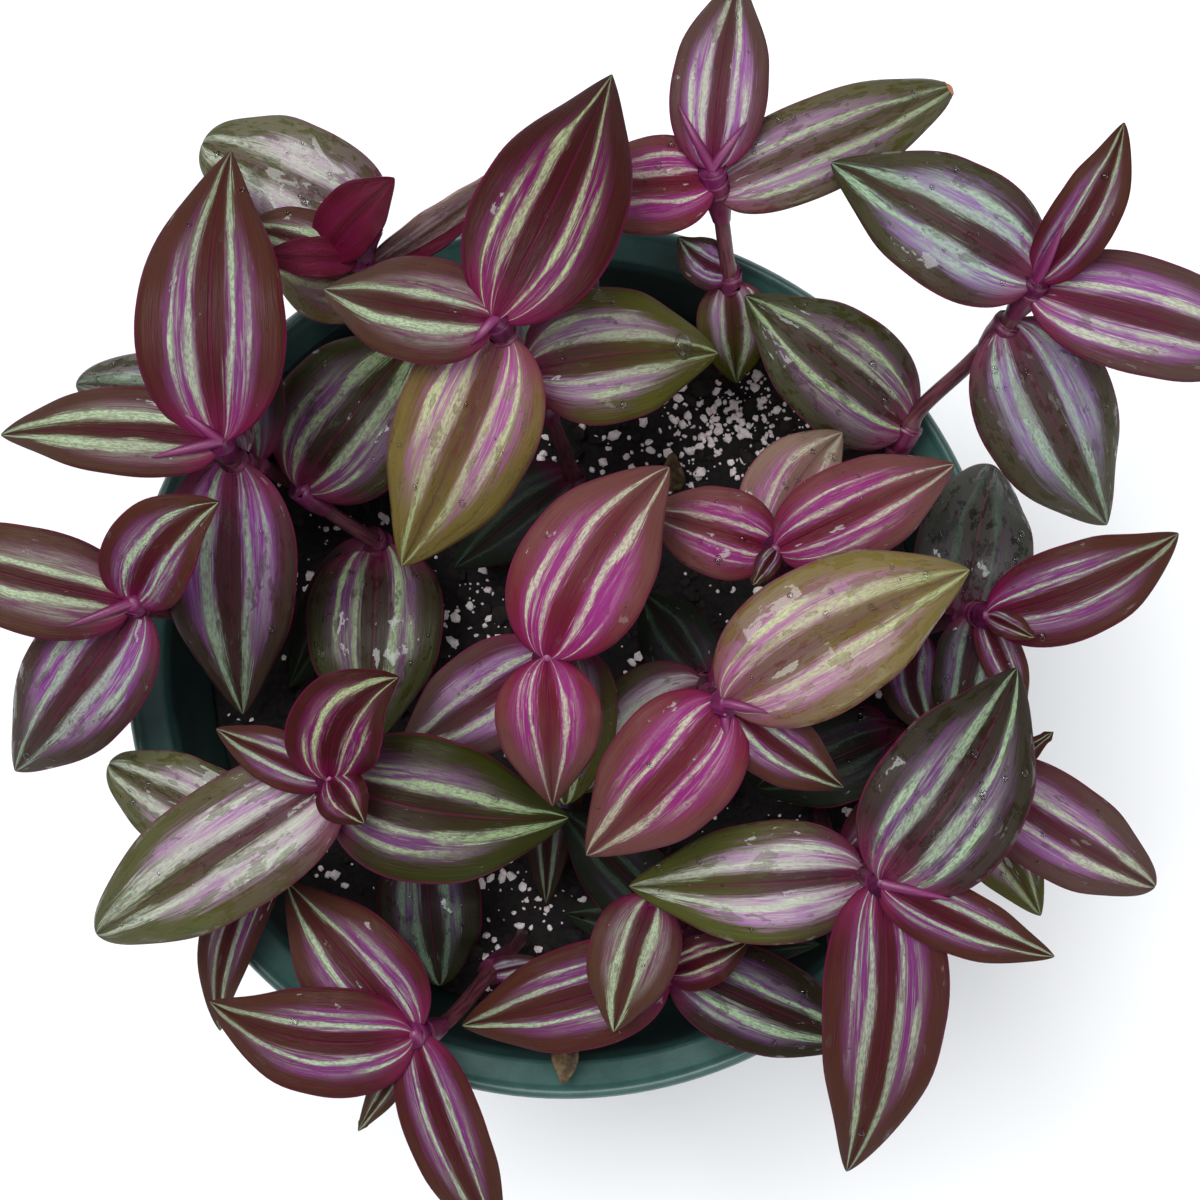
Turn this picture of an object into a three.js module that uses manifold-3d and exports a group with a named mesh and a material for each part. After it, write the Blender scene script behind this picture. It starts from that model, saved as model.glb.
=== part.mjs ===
// A potted tradescantia: a round plastic pot, filled with potting mix, and the leafy
// shoots that stand in it. Each shoot is one grown piece: its stems and leaves are fused.
// Millimetres, +Z up. The origin is on the pot's axis, on the surface that it stands on.
import * as THREE from "three";
import { mergeVertices } from "three/addons/utils/BufferGeometryUtils.js";
import Module from "manifold-3d";

const wasm = await Module();
wasm.setup();

// Pot
const POT_HEIGHT = 120;
const RIM_RADIUS = 80;
const BASE_RADIUS = 55;
const WALL = 2.4;
const FLOOR = 3;
const BAND_HEIGHT = 17;
const ROLL_WIDTH = 2.4;
const LIP_WIDTH = 4.4;
const LIP_DROP = 2.6;
const DRAIN_HOLES = 6;
const DRAIN_RADIUS = 5;
const DRAIN_CIRCLE = 40;
const FOOT_ROUNDING = 1.2;
const EDGE_ROUNDING = 0.6;
const ROUND_SIDES = 36;

// Soil
const SOIL_UNDER_RIM = 27;
const SOIL_RELIEF = 1.3;
const PERLITE_GRAINS = 22;
const PERLITE_RADIUS = 1.5;
const CLEARANCE = 0.3;
const HOLE_DEPTH = 9;
const HOLE_RADIUS = 2.2;
const HOLE_SIDES = 8;
const SOIL_RINGS = 5;

// Stems and leaves
const STEM_RADIUS = 1.6;
const BRANCH_RADIUS = 1.3;
const STRAIGHT_START = 3;
const STEM_STEP = 12;
const STEM_SIDES = 6;
const BLADE = 0.7;
const MIDRIB_GROOVE = 0.3;
const BLADE_DOME = 0.32;
const NARROWEST_HALF = 0.9;

// Where a blade has points: along it from its base, and across it from edge to edge.
const SMALL_LEAF_WIDTH = 13;
const SMALL_LEAF = { rows: [0, 0.07, 0.25, 0.5, 0.8], columns: [-1, 0, 1] };
const LARGE_LEAF = { rows: [0, 0.05, 0.18, 0.38, 0.6, 0.82], columns: [-1, -0.55, 0, 0.55, 1] };

// The plan is measured as it looks from one point above the pot, in the plane of the rim.
// seen() puts such a place at its own height, on the line of sight.
const EYE = new THREE.Vector3(6.3, 10.8, POT_HEIGHT + 420);

function closeness(up) {
  return (EYE.z - POT_HEIGHT - up) / (EYE.z - POT_HEIGHT);
}

function seen([x, y, up]) {
  const k = closeness(up);
  return new THREE.Vector3(EYE.x + (x - EYE.x) * k, EYE.y + (y - EYE.y) * k, POT_HEIGHT + up);
}

// Each shoot has stems, as points [x, y, height over the rim], and leaves. A leaf runs from
// its base to its tip. wide is its width, arch its rise over the straight line, bow its
// sideways bend to the left, roll its lean in degrees to the right, belly where it is
// widest, point how sharp it ends, and fold how deep it is folded along the midrib.
const SHOOTS = {
  shoot_left_high: {
    stems: [[[-49, 32, -27], [-55, 35, 5], [-60.5, 36.5, 30], [-62.3, 39.5, 38]]],
    leaves: [
      { base: [-62.5, 39, 38], tip: [-60.5, 92, 30], wide: 27.5, arch: 7, bow: 1.5, belly: 0.36, point: 1 },
      { base: [-62, 40, 38], tip: [-102, 40.7, 26], wide: 16.3, arch: 5, bow: -1, belly: 0.34 },
      { base: [-60.5, 36, 28], tip: [-58.4, -9.7, -2], wide: 24.5, arch: 2, bow: -1 },
      { base: [-60, 36.5, 24], tip: [-88.4, 49.8, 12], wide: 17.5, arch: 4, bow: -3.5, point: 0.6 },
      { base: [-57, 35.5, 12], tip: [-64, 72, 4], wide: 18, arch: 5, bow: 0 },
    ],
  },
  shoot_left_edge: {
    stems: [[[-52, 10, -27], [-63, 9, 0], [-70, 8.8, 6], [-75.5, 9, 16], [-78.5, 10.5, 28]]],
    leaves: [
      { base: [-79, 11, 27], tip: [-120, 22, 23], wide: 19.5, arch: 4, bow: 1 },
      { base: [-77, 9, 24], tip: [-99.5, -20, 3], wide: 23, arch: 6, bow: 1 },
      { base: [-76.5, 9, 26], tip: [-62.7, 28.5, 38], wide: 17.5, arch: 3, bow: 2.5, fold: 0.6 },
    ],
  },
  shoot_back_left: {
    stems: [[[-24, 52, -27], [-29, 61, -8], [-35, 70, 14], [-37.5, 73, 25]]],
    branches: [[[-36, 71.5, 17], [-36, 75, 20], [-35, 78, 21]], [[-37.5, 73, 24], [-44, 73.5, 25]]],
    leaves: [
      { base: [-35, 78.5, 21], tip: [-65.5, 93.5, 18], wide: 22.5, arch: 4, bow: -0.5, point: 0.45 },
      { base: [-44, 73.5, 25], tip: [-31, 87.3, 34], wide: 12, arch: 3, bow: 0, roll: 180 },
      { base: [-40, 73, 24], tip: [-58.5, 78.5, 24], wide: 12, arch: 3, bow: 0 },
      { base: [-33.5, 68.5, 9], tip: [-53.5, 71.5, 4], wide: 17.5, arch: 3, bow: 0.5 },
      { base: [-35, 71, 17], tip: [-8, 91.5, 20], wide: 5, arch: 1, bow: -1.5, roll: 60 },
    ],
  },
  shoot_left_inner: {
    stems: [[[-29, 19, -27], [-36, 22.5, -9], [-43, 27, -2], [-48, 31, 3]]],
    leaves: [
      { base: [-48, 31, 3], tip: [-25, 60, 0], wide: 27.5, arch: 6, bow: 0 },
      { base: [-34, 21, -13], tip: [-34.5, -15, -8], wide: 25, arch: 6, bow: 0 },
      { base: [-42, 26, -3], tip: [-50, -5, -14], wide: 12, arch: 1, bow: 0 },
    ],
  },
  shoot_back_high: {
    stems: [[[2, 31, -27], [-1.5, 41, 8], [-8, 54, 40], [-12.8, 61.5, 54]]],
    leaves: [
      { base: [-12.5, 62, 54], tip: [8.4, 105.8, 40], wide: 27.5, arch: 6, bow: -1, point: 1 },
      { base: [-14, 62, 54], tip: [-43.5, 67, 38], wide: 19.5, arch: 5, bow: 1 },
      { base: [-11, 59, 50], tip: [-29.5, 17.2, 22], wide: 26.5, arch: 5, bow: 1.2 },
      { base: [-6.5, 52, 36], tip: [27.5, 55.5, 22], wide: 25, arch: 5, bow: 1 },
      { base: [1, 34, -16], tip: [-20, 16.7, -15], wide: 15, arch: 3, bow: 0 },
      { base: [-4, 47, 22], tip: [3, 84, 4], wide: 18, arch: 7, bow: 2 },
    ],
  },
  shoot_back_edge: {
    stems: [[[28.5, 53, -27], [30, 63, 0], [29.5, 70, 12], [28, 82, 21], [26.6, 88.8, 28]]],
    leaves: [
      { base: [27, 90, 28], tip: [31.5, 123.5, 22], wide: 17.7, arch: 4, bow: 0.8 },
      { base: [28, 85.5, 24], tip: [69.8, 103.5, 12], wide: 17.5, arch: 5, bow: -0.7, point: 0.6 },
      { base: [27.5, 87.5, 26], tip: [0, 84, 16], wide: 18, arch: 4, bow: 0.5 },
      { base: [29, 70, 12], tip: [20.5, 76.5, 19], wide: 9, arch: 1, bow: 1 },
      { base: [29.5, 69, 9], tip: [31, 50.3, -2], wide: 13.5, arch: 3, bow: 0, fold: 0.6 },
    ],
  },
  shoot_back_right_edge: {
    stems: [
      [
        [50, 31, -27], [56, 35.5, -8], [61, 39.5, 5], [64, 45, 9],
        [73, 53.5, 16], [80, 61, 25], [85.5, 68.8, 34],
      ],
    ],
    leaves: [
      { base: [85, 69, 34], tip: [48.3, 89.9, 27], wide: 24.5, arch: 5, bow: 0 },
      { base: [87, 70, 35], tip: [101.2, 97.2, 44], wide: 12.3, arch: 3, bow: -1.5 },
      { base: [85.5, 67, 32], tip: [131, 54, 20], wide: 21.5, arch: 5, bow: 0 },
      { base: [80.5, 60.5, 25], tip: [98, 24.6, 0], wide: 26, arch: 5, bow: -1.5 },
      { base: [62.5, 42, 7], tip: [32.7, 65.8, 12], wide: 22.5, arch: 5, bow: 0.5 },
      { base: [60.5, 39, 3], tip: [45, 35.5, -4], wide: 11, arch: 1, bow: 0 },
    ],
  },
  shoot_right_edge: {
    stems: [[[57, 4, -27], [66, 6, -4], [72, 8, 13], [76.5, 8, 28]]],
    leaves: [
      { base: [76.5, 8, 28], tip: [110.9, 22.8, 32], wide: 17.5, arch: 5, bow: -1.8 },
      { base: [74.5, 8, 22], tip: [69.5, -15, 14], wide: 13, arch: 4, bow: 0 },
      { base: [76, 8, 25], tip: [83, -10, 16], wide: 8, arch: 3, bow: 0 },
      { base: [76.5, 8, 28], tip: [85, 4, 34], wide: 5, arch: 1, bow: 0 },
      { base: [72.5, 8.5, 15], tip: [77.5, 35, 3], wide: 21.5, arch: 6, bow: 1.5, point: 0.6 },
      { base: [64, 5.5, -8], tip: [67, -14, 5], wide: 12, arch: 2, bow: -3 },
    ],
  },
  shoot_right_inner: {
    stems: [[[40, 12, -27], [36, 17, 0], [36.5, 20, 20], [38.2, 20, 38]]],
    leaves: [
      { base: [38.2, 20, 38], tip: [70.3, 35.3, 30], wide: 18.5, arch: 5, bow: 0 },
      { base: [38, 20, 35], tip: [14, 27, 28], wide: 16.5, arch: 4, bow: 0 },
      { base: [38.2, 20, 38], tip: [34, 13.5, 42], wide: 4.5, arch: 1, bow: 0 },
      { base: [37.5, 20, 27], tip: [50, 41, 14], wide: 18, arch: 4, bow: 2 },
      { base: [37, 19, 8], tip: [61, 30, 0], wide: 14, arch: 5, bow: 0 },
    ],
  },
  shoot_centre_right: {
    stems: [[[30, -3, -27], [25.5, -3.5, 2], [26.5, -6.5, 28], [29, -7.8, 51]]],
    leaves: [
      { base: [29, -7.5, 51], tip: [73, 16.2, 43], wide: 27, arch: 6, bow: 2 },
      { base: [29, -8, 50], tip: [4, -35.3, 36], wide: 23.5, arch: 6, bow: 0.5, belly: 0.36 },
      { base: [29, -8, 49], tip: [50.3, -23, 41], wide: 13.5, arch: 3, bow: -0.7 },
      { base: [26, -4, 5], tip: [14, 12, -4], wide: 14, arch: 3, bow: 0 },
      { base: [26, -5, 13], tip: [3, -24, 6], wide: 19, arch: 4, bow: -2 },
      { base: [27, -6.5, 30], tip: [63, 10, 18], wide: 20, arch: 6, bow: 0 },
    ],
  },
  shoot_centre: {
    stems: [[[-4, 6, -27], [0, 3, 5], [-0.5, 1.5, 28], [-3.3, 0.3, 49]]],
    leaves: [
      { base: [-3.5, 0.5, 49], tip: [18.7, 34.7, 43], wide: 25, arch: 6, bow: 2.5 },
      { base: [-3, 0, 49], tip: [-2.3, -26.3, 33], wide: 19.3, arch: 7, bow: 0, point: 1 },
      { base: [-3, 0.5, 38], tip: [-30, -17, 12], wide: 19, arch: 1, bow: 0 },
      { base: [-1.5, 1, 20], tip: [0, -26, 13], wide: 19, arch: 3, bow: 0, point: 0.6 },
      { base: [-1, 4, -8], tip: [-3.5, -44, -14], wide: 12, arch: 2, bow: 0, belly: 0.5 },
      { base: [-1, 1.5, 26], tip: [11, 27, 18], wide: 17, arch: 5, bow: 1 },
    ],
  },
  shoot_front_left: {
    stems: [[[-36, -20, -27], [-38, -23, -4], [-41.5, -23.5, 18], [-42.6, -21.5, 38]]],
    branches: [
      [[-38, -22.5, -14], [-31, -29, -13], [-25, -35, -13]],
      [[-39.5, -23, 3], [-48, -30, 8], [-55, -33, 11]],
    ],
    leaves: [
      { base: [-42.6, -21.5, 38], tip: [-30.2, -3.2, 47], wide: 18, arch: 3, bow: 3.5, fold: 0.5 },
      { base: [-42.6, -21.5, 38], tip: [-36.5, -29.5, 41], wide: 10, arch: 2, bow: 0 },
      { base: [-43, -21.5, 37], tip: [-63, -12.6, 33], wide: 10.3, arch: 3, bow: 0 },
      { base: [-42, -22, 33], tip: [-84.7, -49.6, 14], wide: 24, arch: 7, bow: 0, point: 0.6 },
      { base: [-42, -22, 29], tip: [0.4, -28.6, 23], wide: 27, arch: 7, bow: -1.5 },
      { base: [-55, -33, 11], tip: [-82.5, -19, 8], wide: 18, arch: 3, bow: 0, point: 0.5 },
      { base: [-51, -31.5, 9], tip: [-62.5, -67, -3], wide: 11, arch: 7, bow: -3 },
      { base: [-25, -34.5, -13], tip: [-22.7, -58.8, -12], wide: 19, arch: 4, bow: 0, point: 0.6 },
    ],
  },
  shoot_front_left_edge: {
    stems: [[[-8, -50, -27], [-13, -56, -6], [-22, -66, 11], [-27.7, -68, 21]]],
    leaves: [
      { base: [-27, -67, 20], tip: [-50.2, -40.5, 13], wide: 20.5, arch: 4, bow: 0 },
      { base: [-27.7, -68, 21], tip: [-64.2, -62, 16], wide: 20, arch: 4, bow: 3, belly: 0.35 },
      { base: [-27, -68, 20], tip: [-11, -107, 4], wide: 14.5, arch: 5, bow: -0.8 },
      { base: [-27, -68, 18], tip: [-37.4, -85.2, 9], wide: 6, arch: 2, bow: 0 },
      { base: [-13, -56.5, -5], tip: [-4, -54.5, 0], wide: 5, arch: 1, bow: 0 },
    ],
  },
  shoot_front_right: {
    stems: [[[46, -28, -27], [48, -33, 5], [52.5, -38, 30], [57.5, -40.5, 47]]],
    leaves: [
      { base: [57, -40, 47], tip: [81.7, -1.7, 40], wide: 28.5, arch: 6, bow: -1 },
      { base: [57, -41, 46], tip: [51, -92.5, 24], wide: 23, arch: 6, bow: 2.5, belly: 0.35 },
      { base: [57.5, -41, 47], tip: [88.4, -53.7, 40], wide: 12.5, arch: 3, bow: -0.7, belly: 0.34 },
      { base: [52, -37.5, 27], tip: [54, -76, 17], wide: 15, arch: 6, bow: 2 },
      { base: [51, -37, 22], tip: [74, -12, 25], wide: 16, arch: 5, bow: -2 },
      { base: [54, -38.5, 36], tip: [11.8, -41, 26], wide: 22.5, arch: 5, bow: 0 },
    ],
  },
  shoot_front_inner: {
    stems: [[[21, -46, -27], [20, -53, 5], [18.5, -56.5, 16]]],
    branches: [[[20.3, -52, 2], [19, -47, 16], [16, -43, 24]]],
    leaves: [
      { base: [16, -43.5, 24], tip: [8.8, -67.2, 23], wide: 16.5, arch: 3, bow: -0.7 },
      { base: [18.5, -56, 15], tip: [-18.5, -66.2, 8], wide: 19.4, arch: 4, bow: 0 },
      { base: [18.5, -56.5, 16], tip: [33.3, -50.9, 20], wide: 10, arch: 2, bow: 0, fold: 0.6 },
      { base: [19.5, -55, 12], tip: [54, -69.5, 6], wide: 18.5, arch: 4, bow: 0 },
      { base: [20, -52, 0], tip: [46, -51.5, 3], wide: 8, arch: 2, bow: 0 },
      { base: [20.5, -48, -13], tip: [-1, -27, -6], wide: 15, arch: 3, bow: 0 },
      { base: [20.5, -48, -16], tip: [0, -46, -18], wide: 11, arch: 1, bow: 0 },
    ],
  },
  shoot_right_low: {
    stems: [[[54, -12, -27], [62, -14, -7], [70, -19, 8], [76, -21.5, 18]]],
    leaves: [
      { base: [75, -21.5, 17], tip: [106.7, -41, 10], wide: 18.5, arch: 4, bow: -0.5, point: 0.6 },
      { base: [69, -19.5, 6], tip: [86, -46.2, 3], wide: 15, arch: 5, bow: 0 },
      { base: [76, -21.5, 18], tip: [88.4, -13.1, 27], wide: 5, arch: 1, bow: 0 },
      { base: [60, -13.5, -12], tip: [35, -23, -10], wide: 17, arch: 5, bow: 0, point: 0.6 },
    ],
  },
};

// Solids

function solidFrom(geometry) {
  geometry.deleteAttribute("normal");
  geometry.deleteAttribute("uv");
  const merged = mergeVertices(geometry, 1e-4);
  return new wasm.Manifold(
    new wasm.Mesh({
      numProp: 3,
      vertProperties: merged.getAttribute("position").array,
      triVerts: new Uint32Array(merged.index.array),
    }),
  );
}

function meshFrom(name, solid, material) {
  const made = solid.getMesh();
  const geometry = new THREE.BufferGeometry();
  geometry.setAttribute("position", new THREE.BufferAttribute(made.vertProperties, 3));
  geometry.setIndex(new THREE.BufferAttribute(made.triVerts, 1));
  geometry.computeVertexNormals();
  const mesh = new THREE.Mesh(geometry, material);
  mesh.name = name;
  return mesh;
}

// A closed surface from rings of points, all with the same count, with flat ends.
function loft(rings) {
  const around = rings[0].length;
  const points = rings.flat().concat([centreOf(rings[0]), centreOf(rings.at(-1))]);
  const faces = [];
  for (let r = 0; r + 1 < rings.length; r++) {
    for (let i = 0; i < around; i++) {
      const a = r * around + i;
      const b = r * around + ((i + 1) % around);
      faces.push(a, b, b + around, a, b + around, a + around);
    }
  }
  const last = (rings.length - 1) * around;
  for (let i = 0; i < around; i++) {
    const next = (i + 1) % around;
    faces.push(points.length - 2, next, i, points.length - 1, last + i, last + next);
  }
  const geometry = new THREE.BufferGeometry().setFromPoints(points);
  geometry.setIndex(faces);
  return geometry;
}

function centreOf(ring) {
  const sum = new THREE.Vector3();
  for (const point of ring) sum.add(point);
  return sum.divideScalar(ring.length);
}

// Stems

// A rooted stem goes straight down into the soil from its first point.
function stemCurve(points, rooted) {
  const places = points.map(seen);
  if (rooted) {
    const [foot] = places;
    const deepest = foot.clone().setZ(foot.z - HOLE_DEPTH);
    const above = foot.clone().setZ(foot.z + STRAIGHT_START);
    places.splice(0, 1, deepest, foot, above);
  }
  return new THREE.CatmullRomCurve3(places, false, "centripetal");
}

function stemSolid(path, radius) {
  const steps = Math.max(2, Math.round(path.getLength() / STEM_STEP));
  const section = new THREE.Shape();
  for (let i = 0; i < STEM_SIDES; i++) {
    const angle = (i / STEM_SIDES) * 2 * Math.PI;
    const corner = [radius * Math.cos(angle), radius * Math.sin(angle)];
    if (i) section.lineTo(...corner);
    else section.moveTo(...corner);
  }
  return solidFrom(new THREE.ExtrudeGeometry(section, { steps, extrudePath: path }));
}

function nearestOn(paths, place) {
  const tries = paths.flatMap((path) => path.getSpacedPoints(80));
  return tries.reduce((best, point) =>
    point.distanceTo(place) < best.distanceTo(place) ? point : best,
  );
}

// Leaves

// The half width of a blade along its length, 1 at its widest.
function bladeOutline(s, belly, point) {
  const start = (point * belly) / (1 - belly);
  const peak = belly ** start * (1 - belly) ** point;
  return (s ** start * (1 - s) ** point) / peak;
}

function leafSolid(from, leaf) {
  const { tip, wide, arch, bow, roll = 0, belly = 0.4, point = 0.85, fold = MIDRIB_GROOVE } = leaf;
  const to = seen(tip);
  const along = to.clone().sub(from);
  const left = new THREE.Vector3(-along.y, along.x, 0).normalize();
  const up = new THREE.Vector3(0, 0, 1);
  const midrib = (s) =>
    from
      .clone()
      .addScaledVector(along, s)
      .addScaledVector(left, 4 * bow * s * (1 - s))
      .addScaledVector(up, 4 * arch * s * (1 - s));
  const { rows, columns } = wide < SMALL_LEAF_WIDTH ? SMALL_LEAF : LARGE_LEAF;
  const lean = THREE.MathUtils.degToRad(roll);
  const flatHalf = wide / 2 / Math.max(0.4, Math.abs(Math.cos(lean)));
  const rings = rows.map((s) => {
    const centre = midrib(s);
    const tangent = midrib(s + 0.01).sub(midrib(s - 0.01)).normalize();
    const across = new THREE.Vector3(-tangent.y, tangent.x, 0).normalize();
    const normal = new THREE.Vector3().crossVectors(tangent, across).normalize();
    across.applyAxisAngle(tangent, lean);
    normal.applyAxisAngle(tangent, lean);
    const width = flatHalf * closeness(centre.z - POT_HEIGHT) * bladeOutline(s, belly, point);
    const half = Math.max(NARROWEST_HALF, width);
    const onBlade = (v, side) => {
      const rise = half * (fold * Math.abs(v) - BLADE_DOME * v * v) + (side * BLADE) / 2;
      return centre.clone().addScaledVector(across, half * v).addScaledVector(normal, rise);
    };
    const underside = columns.map((v) => onBlade(v, -1));
    const upperSide = columns.toReversed().map((v) => onBlade(v, 1));
    return [...underside, ...upperSide];
  });
  return solidFrom(bladeGeometry(rings, midrib(1)));
}

// The rings hold the underside from right to left and then the top from left to right.
// Both faces are split along the same diagonals. The blade ends in one point.
function bladeGeometry(rings, tipPoint) {
  const around = rings[0].length;
  const columns = around / 2;
  const points = rings.flat();
  points.push(tipPoint);
  const tipIndex = points.length - 1;
  const faces = [];
  const quad = (a, b, c, d) => faces.push(a, b, c, a, c, d);
  for (let r = 0; r + 1 < rings.length; r++) {
    for (let i = 0; i + 1 < columns; i++) {
      const under = r * around + i;
      const over = r * around + (around - 1 - i);
      quad(under, under + 1, under + 1 + around, under + around);
      quad(over, over + around, over - 1 + around, over - 1);
    }
    const firstEdge = r * around + columns - 1;
    quad(firstEdge, firstEdge + 1, firstEdge + 1 + around, firstEdge + around);
    const lastEdge = r * around + around - 1;
    quad(lastEdge, r * around, r * around + around, lastEdge + around);
  }
  const last = (rings.length - 1) * around;
  for (let i = 0; i < around; i++) {
    faces.push(last + i, last + ((i + 1) % around), tipIndex);
  }
  for (let i = 0; i + 1 < columns; i++) {
    const over = around - 1 - i;
    faces.push(i, over, over - 1, i, over - 1, i + 1);
  }
  const geometry = new THREE.BufferGeometry().setFromPoints(points);
  geometry.setIndex(faces);
  return geometry;
}

function shootParts({ stems, branches = [], leaves }) {
  const rooted = stems.map((points) => stemCurve(points, true));
  const side = branches.map((points) => stemCurve(points, false));
  const paths = [...rooted, ...side];
  return [
    ...rooted.map((path) => stemSolid(path, STEM_RADIUS)),
    ...side.map((path) => stemSolid(path, BRANCH_RADIUS)),
    ...leaves.map((leaf) => leafSolid(nearestOn(paths, seen(leaf.base)), leaf)),
  ];
}

function shootSolid(shoot) {
  return shootParts(shoot).reduce((sum, part) => sum.add(part));
}

// Pot

function turned(profile) {
  const points = profile.map(([r, z]) => new THREE.Vector2(r, z));
  const lathe = new THREE.LatheGeometry(points, ROUND_SIDES);
  lathe.rotateX(Math.PI / 2);
  return solidFrom(lathe);
}

function innerRadius(z) {
  const top = RIM_RADIUS - ROLL_WIDTH - LIP_WIDTH;
  const bottom = BASE_RADIUS - WALL;
  return bottom + ((top - bottom) * (z - FLOOR)) / (POT_HEIGHT - LIP_DROP - FLOOR);
}

function potSolid() {
  const underBand = POT_HEIGHT - BAND_HEIGHT;
  const wallAtBand = innerRadius(underBand) + WALL;
  const lipInner = RIM_RADIUS - ROLL_WIDTH - LIP_WIDTH;
  let pot = turned(
    [
      [0, 0],
      [BASE_RADIUS - FOOT_ROUNDING, 0],
      [BASE_RADIUS, FOOT_ROUNDING],
      [wallAtBand, underBand],
      [RIM_RADIUS - 2 * EDGE_ROUNDING, underBand - EDGE_ROUNDING],
      [RIM_RADIUS - EDGE_ROUNDING, underBand],
      [RIM_RADIUS, POT_HEIGHT - 3 * EDGE_ROUNDING],
      [RIM_RADIUS - EDGE_ROUNDING, POT_HEIGHT - EDGE_ROUNDING],
      [RIM_RADIUS - ROLL_WIDTH / 2, POT_HEIGHT],
      [RIM_RADIUS - ROLL_WIDTH, POT_HEIGHT - EDGE_ROUNDING],
      [lipInner + EDGE_ROUNDING, POT_HEIGHT - LIP_DROP],
      [lipInner, POT_HEIGHT - LIP_DROP - EDGE_ROUNDING],
      [innerRadius(FLOOR), FLOOR],
      [0, FLOOR],
    ],
  );
  for (let i = 0; i < DRAIN_HOLES; i++) {
    const angle = ((i + 0.5) / DRAIN_HOLES) * 2 * Math.PI;
    const drill = new THREE.CylinderGeometry(DRAIN_RADIUS, DRAIN_RADIUS, 3 * FLOOR, 12);
    drill.rotateX(Math.PI / 2);
    drill.translate(DRAIN_CIRCLE * Math.cos(angle), DRAIN_CIRCLE * Math.sin(angle), FLOOR / 2);
    pot = pot.subtract(solidFrom(drill));
  }
  return pot;
}

// Soil

function soilTop(x, y) {
  const coarse = Math.sin(x * 0.21 + 1.3) * Math.cos(y * 0.17 - 0.6);
  const fine = Math.sin(x * 0.83 + y * 0.57) * Math.cos(y * 0.71 - x * 0.39);
  return POT_HEIGHT - SOIL_UNDER_RIM + SOIL_RELIEF * (0.6 * coarse + 0.4 * fine);
}

// Grains of perlite, half sunk in the soil, in a sunflower pattern shaken by a seeded draw.
function perliteGrains(radius) {
  const grains = [];
  for (let i = 0; i < PERLITE_GRAINS; i++) {
    const shake = Math.abs(Math.sin(12.9898 * (i + 1)) * 43758.5453) % 1;
    const out = radius * Math.sqrt((i + 0.3 + 0.6 * shake) / PERLITE_GRAINS);
    const angle = i * Math.PI * (3 - Math.sqrt(5)) + 0.5 * shake;
    const [x, y] = [out * Math.cos(angle), out * Math.sin(angle)];
    const grain = new THREE.OctahedronGeometry(PERLITE_RADIUS * (0.8 + 0.5 * shake));
    grain.rotateZ(angle);
    grain.translate(x, y, soilTop(x, y));
    grains.push(solidFrom(grain));
  }
  return grains;
}

function soilSolid() {
  const floor = FLOOR + CLEARANCE;
  const topRadius = innerRadius(POT_HEIGHT - SOIL_UNDER_RIM) - 2 * CLEARANCE;
  const bottomRadius = innerRadius(floor) - CLEARANCE;
  const ring = (radius, height) => {
    const points = [];
    for (let i = 0; i < ROUND_SIDES; i++) {
      const angle = (i / ROUND_SIDES) * 2 * Math.PI;
      const x = radius * Math.cos(angle);
      const y = radius * Math.sin(angle);
      points.push(new THREE.Vector3(x, y, height(x, y)));
    }
    return points;
  };
  const rings = [ring(bottomRadius, () => floor)];
  const wallTop = POT_HEIGHT - SOIL_UNDER_RIM - SOIL_RELIEF;
  rings.push(ring(topRadius - CLEARANCE, () => wallTop - CLEARANCE));
  for (let r = SOIL_RINGS; r > 0; r--) {
    rings.push(ring(((topRadius - 1) * r) / SOIL_RINGS, soilTop));
  }
  let soil = solidFrom(loft(rings));
  for (const grain of perliteGrains(topRadius - 4)) soil = soil.add(grain);
  for (const { stems } of Object.values(SHOOTS)) {
    const foot = seen(stems[0][0]);
    const drill = new THREE.CylinderGeometry(HOLE_RADIUS, HOLE_RADIUS, 2 * HOLE_DEPTH, HOLE_SIDES);
    drill.rotateX(Math.PI / 2);
    drill.translate(foot.x, foot.y, foot.z - CLEARANCE);
    soil = soil.subtract(solidFrom(drill));
  }
  return soil;
}

// Assembly

const GREEN_PLASTIC = new THREE.MeshStandardMaterial({ color: 0x3f635d, roughness: 0.45, metalness: 0 });
const POTTING_MIX = new THREE.MeshStandardMaterial({ color: 0x1c1614, roughness: 0.95, metalness: 0 });
const LEAF_MAROON = new THREE.MeshStandardMaterial({ color: 0x6b3a45, roughness: 0.4, metalness: 0 });

const plant = new THREE.Group();
plant.add(meshFrom("pot", potSolid(), GREEN_PLASTIC));
plant.add(meshFrom("soil", soilSolid(), POTTING_MIX));
for (const [name, shoot] of Object.entries(SHOOTS)) {
  plant.add(meshFrom(name, shootSolid(shoot), LEAF_MAROON));
}

export default plant;
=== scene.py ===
# %% [markdown]
# # A potted tradescantia
# This lesson dresses a plain model of a house plant: a round green pot, the potting mix in
# it, and the striped leafy shoots that stand in the mix. The plain model comes from CAD. It
# fixes where everything is, and each step below swaps one plain solid for a finer piece.

# %% Load the plain model
import math
import random

import bmesh
import bpy
from mathutils import Matrix, Vector, noise


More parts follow.
